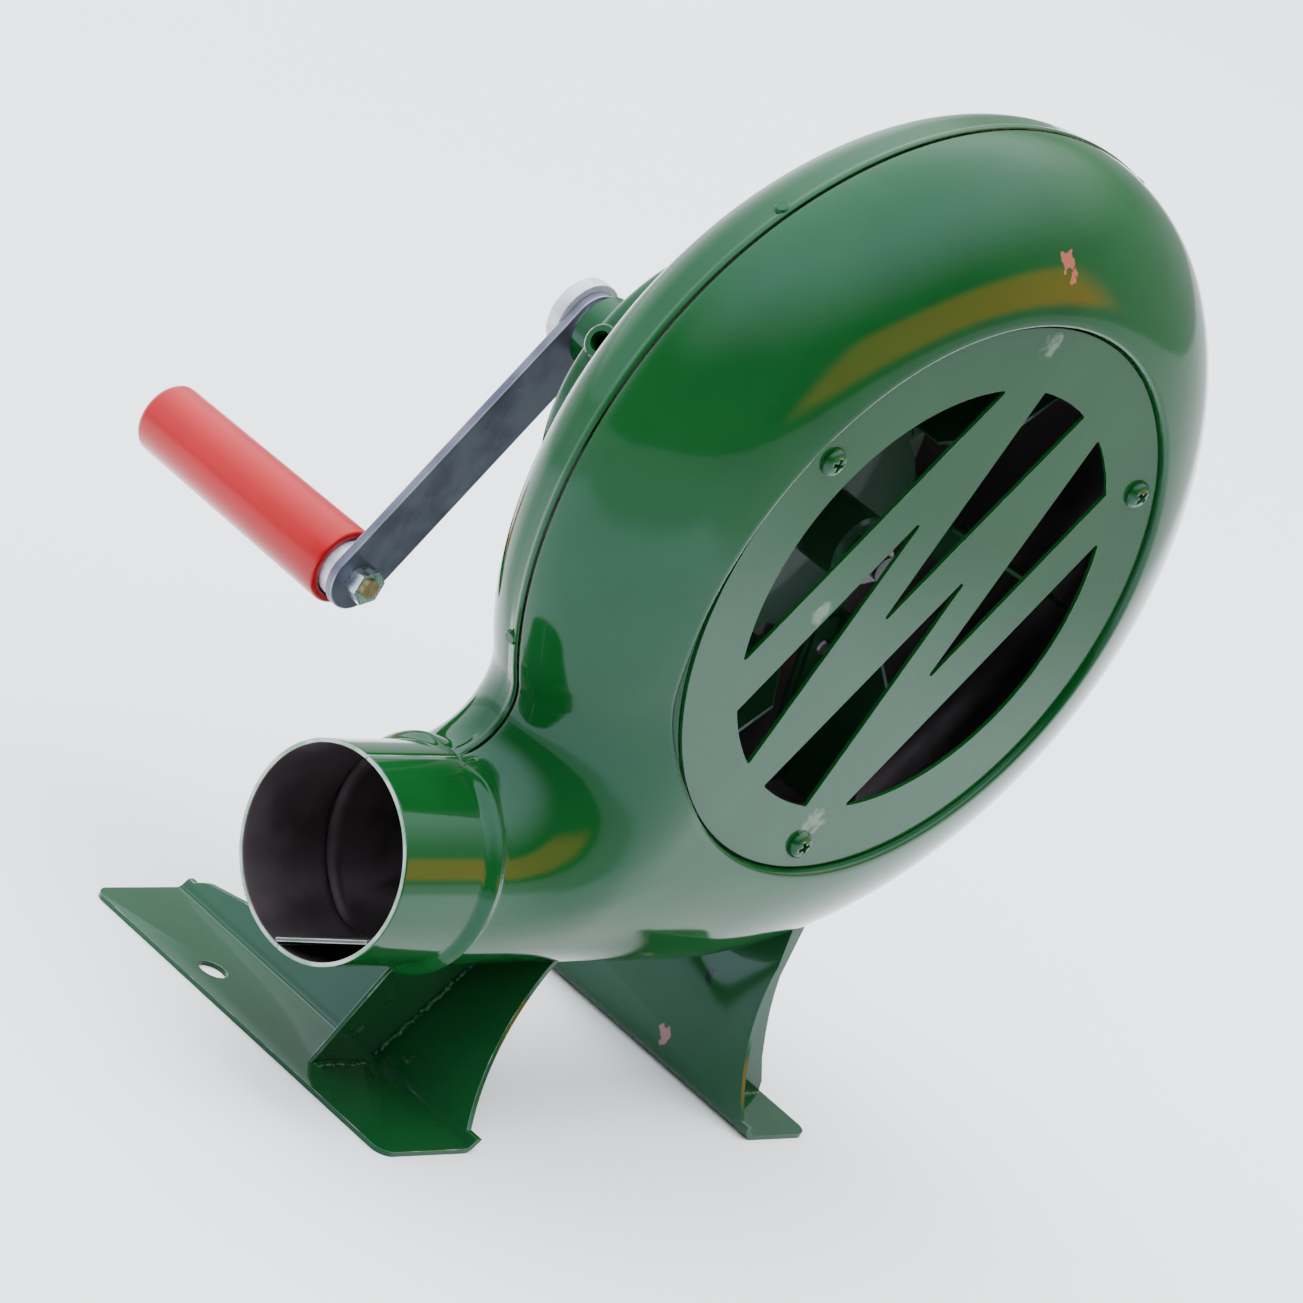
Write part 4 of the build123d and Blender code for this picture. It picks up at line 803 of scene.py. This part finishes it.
def shell_surface(side):
    """Points and faces of one half's outer skin: the columns first, then the pipe."""
    normals = open_normals()
    ring = [(p, None) for p in rim_points] + list(zip(open_points, normals))
    lips = FRONT_LIP if side < 0 else REAR_LIP
    arc = RIM_ARC if side < 0 else 1e6
    rows = shell_rows(side)
    inner = SEAT_R + 1.1
    points, faces = [], []
    columns = []
    for seat, ((out_x, out_z), normal) in zip(seats, ring):
        turn = math.radians(seat)
        column = []
        lip_x, lip_z = inner * math.cos(turn), inner * math.sin(turn)

        def fall(fractions):
            for f in fractions:
                x, z = lip_x + (out_x - lip_x) * f, lip_z + (out_z - lip_z) * f
                column.append((x, side * depth_at(x, z, side), z))

        if side < 0:
            lip = depth_at(lip_x, lip_z, side)
            profile = [(INTAKE_R, SEAT_Y), (SEAT_R - 0.5, SEAT_Y), (SEAT_R, SEAT_Y + 0.5),
                       (SEAT_R, lip - 1.15), (SEAT_R + 0.16, lip - 0.6),
                       (SEAT_R + 0.55, lip - 0.15)]
            for r, depth in profile:
                column.append((r * math.cos(turn), side * depth, r * math.sin(turn)))
        else:
            for r in (8.2, 12.0, 24.0, 36.0, 48.0, 58.0, 66.0, 72.0, 78.0, 83.0, 87.5):
                x, z = r * math.cos(turn), r * math.sin(turn)
                column.append((x, depth_at(x, z, side), z))
        fall(rows)
        if normal is None:
            last = rows[-1]
            fall(last + (1.0 - last) * (i + 1) / len(lips) for i in range(len(lips)))
        else:
            for depth, stand in lips:
                out = stand * normal[2] - (arc - math.sqrt(arc * arc - depth * depth))
                column.append((out_x + out * normal[0], side * depth, out_z + out * normal[1]))
        columns.append(column)
    depth_rows = len(columns[0])
    for column in columns:
        points.extend(column)
    total = len(columns)
    for c in range(total):
        n = (c + 1) % total
        for r in range(depth_rows - 1):
            a, b = c * depth_rows + r, n * depth_rows + r
            quad = (a, a + 1, b + 1, b)
            faces.append(quad if side < 0 else quad[::-1])
    # the pipe, from the plane of the ring to the mouth, on the rim's own columns
    start = [c * depth_rows + depth_rows - 1 for c in range(len(rim_points))]
    for i, index in enumerate(start):
        points[index] = pipe_point(BEAD_X, i, side)
    last = start
    for s in range(1, MOUTH_STEPS + 1):
        t = s / MOUTH_STEPS
        x = BEAD_X + (MOUTH_X - BEAD_X) * (t if t > 0.6 else t * (0.7 + 0.5 * t))
        fresh = []
        for i in range(PIPE_STEPS + 1):
            fresh.append(len(points))
            points.append(pipe_point(x, i, side))
        for i in range(PIPE_STEPS):
            quad = (last[i], fresh[i], fresh[i + 1], last[i + 1])
            faces.append(quad if side < 0 else quad[::-1])
        last = fresh
    lifted = []
    for x, y, z in points:
        lift = bead_lift(x, y, z)
        if lift > 0.0:
            reach = math.hypot(y, z - PIPE_Z)
            y += lift * y / reach
            z += lift * (z - PIPE_Z) / reach
        lifted.append((x, y, z))
    return lifted, faces


def pipe_point(x, i, side):
    """A point of the round outlet; its two halves leave the same hairline as the casing."""
    turn = math.pi * i / PIPE_STEPS
    y = max(0.3, PIPE_R * math.sin(turn))
    return (x, side * y, PIPE_Z + PIPE_R * math.cos(turn))


def make_shell(name, side, node):
    points, faces = shell_surface(side)
    piece = make_piece(name, [at(*p) for p in points], faces, [enamel, inner_sheet, worn_edge])
    modify(piece, "wall", "SOLIDIFY", thickness=WALL * 0.001, offset=-1.0, use_even_offset=False,
           material_offset=1, material_offset_rim=2)
    bake(piece)
    finish_piece(piece, "casing", [node])


make_shell("front_half_shell", -1, "front_shell")
make_shell("rear_half_shell", 1, "rear_shell")

# %% [markdown]
# ## Cover, feet and strip
# These are flat sheets cut from stock. They keep their CAD form, with rounded and rubbed
# edges: the zigzag slots of the cover get the thin bright lines that frame them.

# %% Sheet pieces
bevelled_copy("slotted_cover", ["intake_cover"], "casing", 0.34, enamel, rubbed_edge)
for side in ("left", "right"):
    bevelled_copy(f"{side}_bent_foot", [f"{side}_foot"], "casing", 0.36, foot_enamel, rubbed_edge)
bevelled_copy("mouth_strip", ["throat_strip"], "casing", 0.25, primer, worn_edge)

# %% [markdown]
# A small web stiffens each foot. It is cut to follow the inside of the bend, and runs up
# until it meets the casing, where it is welded.

# %% Webs
BENCH = -180.0
SHEET_T = 1.6
BEND = 3.0


def in_casing(x, y, z):
    upper, floor = inside_outline(x, z)
    return min(upper, floor) > 0.0 and x > BEAD_X and abs(y) < depth_at(x, z, -1 if y < 0 else 1)


def rise_to_casing(x, y, start):
    z = start
    while z < 0.0 and not in_casing(x, y, z):
        z += 0.1
    return z


def plate(name, outline, y0, y1, replaced):
    """A flat plate from an outline in x and z, with bevelled edges."""
    points = [at(x, y, z) for y in (y0, y1) for x, z in outline]
    count = len(outline)
    faces = [tuple(range(count)), tuple(range(2 * count - 1, count - 1, -1))]
    faces += [(i, i + count, (i + 1) % count + count, (i + 1) % count) for i in range(count)]
    piece = make_piece(name, points, faces, [foot_enamel, rubbed_edge])
    face_outwards(piece)
    break_edges(piece, 0.3, 40.0)
    finish_piece(piece, "casing", [replaced])


def inside_bend(centre_x, turn):
    """Points round the inside of a foot's bend, from the flange up, through some degrees."""
    return [round_about(BEND, -90.0 + turn * k / 6, centre_x, BENCH + BEND + SHEET_T)
            for k in range(7)]


def left_web_outline():
    fold, lean = -92.0, math.radians(36.5)
    turn = math.pi / 2 - lean
    bend = inside_bend(fold - (BEND + SHEET_T) * math.tan(turn / 2), math.degrees(turn))
    top = FLOOR + 0.7
    inside = fold + (top - BENCH) * math.tan(lean) - SHEET_T / math.cos(lean)
    return [(-118.0, BENCH + SHEET_T)] + bend + [(inside, top), (-97.0, top), (-104.0, -149.2)]


def right_web_outline():
    fold = 28.0
    bend = inside_bend(fold + BEND + SHEET_T, -90.0)
    inside = fold + SHEET_T
    top = [(x, rise_to_casing(x, -21.0, -150.0) + 0.7) for x in (inside, 33.0, 36.5, 40.0)]
    hollow = [(40.0, -137.0), (41.6, -143.6), (43.7, -150.2), (46.5, -157.0), (50.6, -165.8),
              (56.0, -174.4)]
    return bend + top + hollow + [(57.0, BENCH + SHEET_T)]


plate("left_web", left_web_outline(), 0.0, 1.5, "left_gusset")
plate("right_web", right_web_outline(), -22.0, -20.5, "right_gusset")

# %% [markdown]
# The welds are short runs of overlapping drops. A drop is set at each small step along a
# line, with its own size and a small shift, and the drops are melted into one skin.

# %% Geometry Nodes: a weld run
def make_weld_group():
    group, names, given = new_geometry_group(
        "weld_run", Template="Object", From="Vector", To="Vector", Count="Int", Spread="Float",
        Seed="Int", Material="Material")
    ends = {"Start Location": given["From"], "Offset": given["To"]}
    line = add(group, "GeometryNodeMeshLine", {"Count": given["Count"], **ends}, mode="END_POINTS")
    reach = {0: times(group, given["Spread"], -1.0), 1: given["Spread"]}
    limits = {end: add(group, "ShaderNodeCombineXYZ", dict.fromkeys("XYZ", value)).outputs[0]
              for end, value in reach.items()}
    shift = add(group, "FunctionNodeRandomValue", {**limits, "Seed": given["Seed"]},
                data_type="FLOAT_VECTOR")
    moved = add(group, "GeometryNodeSetPosition",
                {"Geometry": line.outputs[0], "Offset": shift.outputs[0]})
    size = add(group, "FunctionNodeRandomValue", {2: 0.7, 3: 1.25, "Seed": given["Seed"]},
               data_type="FLOAT")
    set_copies(group, given, moved.outputs[0], Scale=size.outputs[1])
    return group, names


weld_group, weld_names = make_weld_group()


def weld_drop(radius, squash):
    grid = bmesh.new()
    bmesh.ops.create_icosphere(grid, subdivisions=3, radius=radius * 0.001)
    for vert in grid.verts:
        vert.co = [c * factor for c, factor in zip(vert.co, squash)]
    mesh = bpy.data.meshes.new("drop")
    grid.to_mesh(mesh)
    grid.free()
    return new_object("drop", mesh)


def weld_run(name, start, end, count, radius, spread, seed, squash=(1.0, 1.0, 1.0)):
    drop = weld_drop(radius, squash)
    piece = with_nodes(name, weld_group, weld_names, Template=drop, From=at(*start), To=at(*end),
                       Count=count, Spread=spread * 0.001, Seed=seed, Material=foot_enamel)
    modify(piece, "melt", "REMESH", mode="VOXEL", voxel_size=0.00032, use_smooth_shade=True)
    modify(piece, "soften", "SMOOTH", iterations=2)
    bake(piece)
    remove_object(drop)
    piece.data.materials.clear()
    piece.data.materials.append(foot_enamel)
    piece.data.polygons.foreach_set("use_smooth", [True] * len(piece.data.polygons))
    finish_piece(piece, "casing", [])


FLANGE_TOP = BENCH + SHEET_T
FLAT_DROP = (1.1, 1.1, 0.7)
weld_run("weld_left_web_near", (-116.0, -0.6, FLANGE_TOP), (-96.5, -0.6, FLANGE_TOP),
         15, 1.25, 0.35, 3, FLAT_DROP)
weld_run("weld_left_web_far", (-112.0, 2.0, FLANGE_TOP), (-96.5, 2.0, FLANGE_TOP),
         12, 1.1, 0.3, 5, FLAT_DROP)
weld_run("weld_left_web_up", (-93.2, -0.4, FLANGE_TOP + 3.0), (-66.5, -0.4, FLOOR - 1.0),
         26, 1.0, 0.3, 8)
weld_run("weld_right_web_low", (55.0, -22.5, FLANGE_TOP), (33.0, -22.5, FLANGE_TOP),
         15, 1.0, 0.3, 11, FLAT_DROP)
weld_run("weld_right_web_up", (30.4, -22.4, FLANGE_TOP + 4.0), (30.4, -22.4, -128.0),
         26, 0.95, 0.25, 13)

# %% [markdown]
# The cover is held by three pan-head screws, painted over with the rest: the paint has
# filled the cross until only its middle is open, where the driver has bared the metal.
# The heads made here are enamel all over, the middle of the cross too.

# %% Cover screws
def cross_head_template():
    """Pan head round its own origin, face towards -Y, with a tapered cross cut in."""
    crown = [(0.0, -2.6), (1.6, -2.55), (2.8, -2.3), (3.6, -1.8), (4.1, -1.1), (4.3, -0.45),
             (4.3, 0.1), (0.0, 0.1)]
    points, faces = revolve(crown, 56, False)
    head = make_piece("cross_head", [Vector(p) * 0.001 for p in points], faces, [enamel])
    face_outwards(head)
    box = ((0, 1, 2, 3), (7, 6, 5, 4), (0, 4, 5, 1), (1, 5, 6, 2), (2, 6, 7, 3), (3, 7, 4, 0))
    points, faces = [], []
    for turn in (math.radians(32.0), math.radians(122.0)):
        along = Vector((math.cos(turn), 0.0, math.sin(turn)))
        side = Vector((-math.sin(turn), 0.0, math.cos(turn)))
        faces += [tuple(len(points) + i for i in face) for face in box]
        for y, reach, wide in ((-3.4, 2.7, 0.72), (-0.9, 1.0, 0.35)):
            for u, v in ((-1, -1), (1, -1), (1, 1), (-1, 1)):
                corner = along * (u * reach) + side * (v * wide) + Vector((0, y, 0))
                points.append(corner * 0.001)
    cutter = make_piece("cross_cutter", points, faces, [enamel], smooth=False)
    face_outwards(cutter)
    modify(head, "cross", "BOOLEAN", operation="DIFFERENCE", solver="EXACT", use_self=True,
           object=cutter)
    bake(head)
    remove_object(cutter)
    return head


ring_of("cover_screws", cross_head_template(), 3, 81.6, 28.4, (0.0, -35.9, 0.0), enamel, "casing",
        ["cover_screw_1", "cover_screw_2", "cover_screw_3"])

# %% [markdown]
# ## Crank and grip
# The arm is a bar with its edges broken. The grip is turned finely enough to look round in
# any view: a slightly slimmer far end, a soft far edge, and wells at both ends.

# %% Crank arm
GRIP_X, GRIP_Z = -86.5, -69.0
CRANK_X, CRANK_Z = -38.0, 18.0
ARM_FACE = 87.0
bevelled_copy("crank_bar", ["crank_arm"], "crank", 0.45, bar_steel, bar_edge)

# %% Hub, sleeve and grip
def steel_ring(name, bore, radius, thick, corners, x, z, replaced):
    """A turned ring on the outer face of the arm."""
    outer = ARM_FACE + thick
    outline = [(bore, ARM_FACE), (radius, ARM_FACE), (radius, outer), (bore, outer)]
    ring = turned(name, rounded(outline, corners), x, z, turned_steel)
    finish_piece(ring, "crank", [replaced])


steel_ring("crank_end_hub", 5.0, 12.0, 5.0, {1: 0.35, 2: 0.9}, CRANK_X, CRANK_Z, "crank_hub")
steel_ring("grip_spacer", 3.0, 9.0, 8.0, {1: 0.4, 2: 0.5}, GRIP_X, GRIP_Z, "grip_sleeve")

near, far = ARM_FACE + 3.5, ARM_FACE + 89.5
grip_profile = rounded(
    [(9.5, near), (12.0, near), (12.0, near + 8.0), (11.3, far), (7.5, far), (7.5, far - 10.3),
     (3.05, far - 10.3), (3.05, ARM_FACE + 8.3), (9.5, ARM_FACE + 8.3)],
    {0: 0.6, 1: 1.0, 3: 2.6, 4: 0.7})
grip = turned("red_grip_body", grip_profile, GRIP_X, GRIP_Z, red_grip, 112)
finish_piece(grip, "grip", ["grip"])

# %% [markdown]
# ## Finishes of the pieces that keep their CAD form

# %% Materials on CAD nodes
FINISHES = [
    (enamel, "seam_rivets gear_cover oil_eyelet crank_bush case_bolt_1 case_bolt_2 case_bolt_3"),
    (plate_paint, "backing_plate gear_plate"),
    (bronze, "fan_bush crank_foot_bush"),
    (turned_steel, "idler_post crank_shaft"),
    (gear_steel, "crank_gear idler_gear idler_pinion fan_pinion fan_shaft fan_nut fan_back_washer "
                 "fan_rivets"),
    (zinc, "grip_nut case_nut_1 case_nut_2 case_nut_3"),
    (yellow_steel, "grip_bolt"),
    (fan_enamel, "fan_hub fan_spider fan_blade_1 fan_blade_2 fan_blade_3 fan_blade_4 fan_blade_5 "
                 "fan_blade_6"),
]
for material, names in FINISHES:
    for name in names.split():
        nodes[name].data.materials.clear()
        nodes[name].data.materials.append(material)

# %% [markdown]
# ## Floor and light
# The blower stands on a white sheet on a grey table in a daylight studio. What the gloss
# shows is the room: bright overhead, a bright wall behind the part, a dark room on the
# camera's side, and a length of brown furniture in it that draws the warm streak on the
# casing. All of that is one soft sky made of directions, so no light has a hard edge.

# %% Floor
AHEAD_X, AHEAD_Y = 0.799, 0.602  # the way the camera looks, seen on the floor
FLOOR_HALF = 12.0


def make_floor():
    material, tree, shader, place = start_material("studio_floor", 0.65)
    white = mix_colours(tree, patch_mask(tree, place, 2.0, 0.3, 0.7), (0.86, 0.87, 0.88),
                        (0.89, 0.90, 0.91))
    where = add(tree, "ShaderNodeSeparateXYZ", {0: place}).outputs
    across = weighted(tree, where["X"], AHEAD_Y, where["Y"], -AHEAD_X)
    along = weighted(tree, where["X"], AHEAD_X, where["Y"], AHEAD_Y)
    side = ramp_between(tree, math_node(tree, "ABSOLUTE", across), 0.48, 0.72)
    off_sheet = math_node(tree, "MAXIMUM", side, ramp_between(tree, along, -0.50, -0.75))
    wire(tree, mix_colours(tree, off_sheet, white, (0.46, 0.46, 0.47)), shader["Base Color"])
    corners = [(u * FLOOR_HALF, v * FLOOR_HALF, 0) for u, v in ((-1, -1), (1, -1), (1, 1), (-1, 1))]
    make_piece("studio_floor", corners, [(0, 1, 2, 3)], [material], smooth=False)


make_floor()

# %% The room as a sky
world = bpy.data.worlds.new("studio")
world.use_nodes = True
sky = world.node_tree
looking = add(sky, "ShaderNodeTexCoord").outputs["Generated"]
height = add(sky, "ShaderNodeSeparateXYZ", {0: looking}).outputs["Z"]


def toward(azimuth, low, high):
    """Soft step that opens towards a compass direction, from one cosine to another."""
    dot = add(sky, "ShaderNodeVectorMath", {0: looking, 1: (*round_about(1.0, azimuth), 0.0)},
              operation="DOT_PRODUCT")
    return ramp_between(sky, dot.outputs["Value"], low, high)


def above(low, high):
    """Soft step that opens with height, or the other way when low is the greater."""
    return ramp_between(sky, height, low, high)


light = (0.36, 0.38, 0.42)
for mask, colour in (
        (toward(95.0, 0.40, 0.78), (4.2, 4.5, 4.8)),
        (times(sky, toward(-5.0, 0.45, 0.85), above(0.75, 0.5)), (1.0, 1.05, 1.15)),
        (times(sky, times(sky, toward(-58.0, 0.86, 0.93), above(0.33, 0.27)), above(0.02, 0.09)),
         (8.0, 2.1, 0.45)),
        (above(0.34, 0.86), (6.6, 7.0, 7.4))):
    light = mix_colours(sky, mask, light, colour)
background = sky.nodes["Background"].inputs
wire(sky, light, background["Color"])
wire(sky, 0.52, background["Strength"])
bpy.context.scene.world = world

# %% A soft lamp for the shadow
LAMP_AT = Vector((0.3, 0.3, 2.6))
LAMP_TO = Vector((0.0, -0.02, 0.1))
lamp_data = bpy.data.lights.new("overhead_box", "AREA")
lamp_data.shape = "RECTANGLE"
lamp_data.size = lamp_data.size_y = 2.2
lamp_data.energy = 95.0
lamp = bpy.data.objects.new("overhead_box", lamp_data)
lamp.location = LAMP_AT
lamp.rotation_euler = (LAMP_TO - LAMP_AT).to_track_quat("-Z", "Y").to_euler()
lamp.visible_glossy = False
bpy.context.scene.collection.objects.link(lamp)
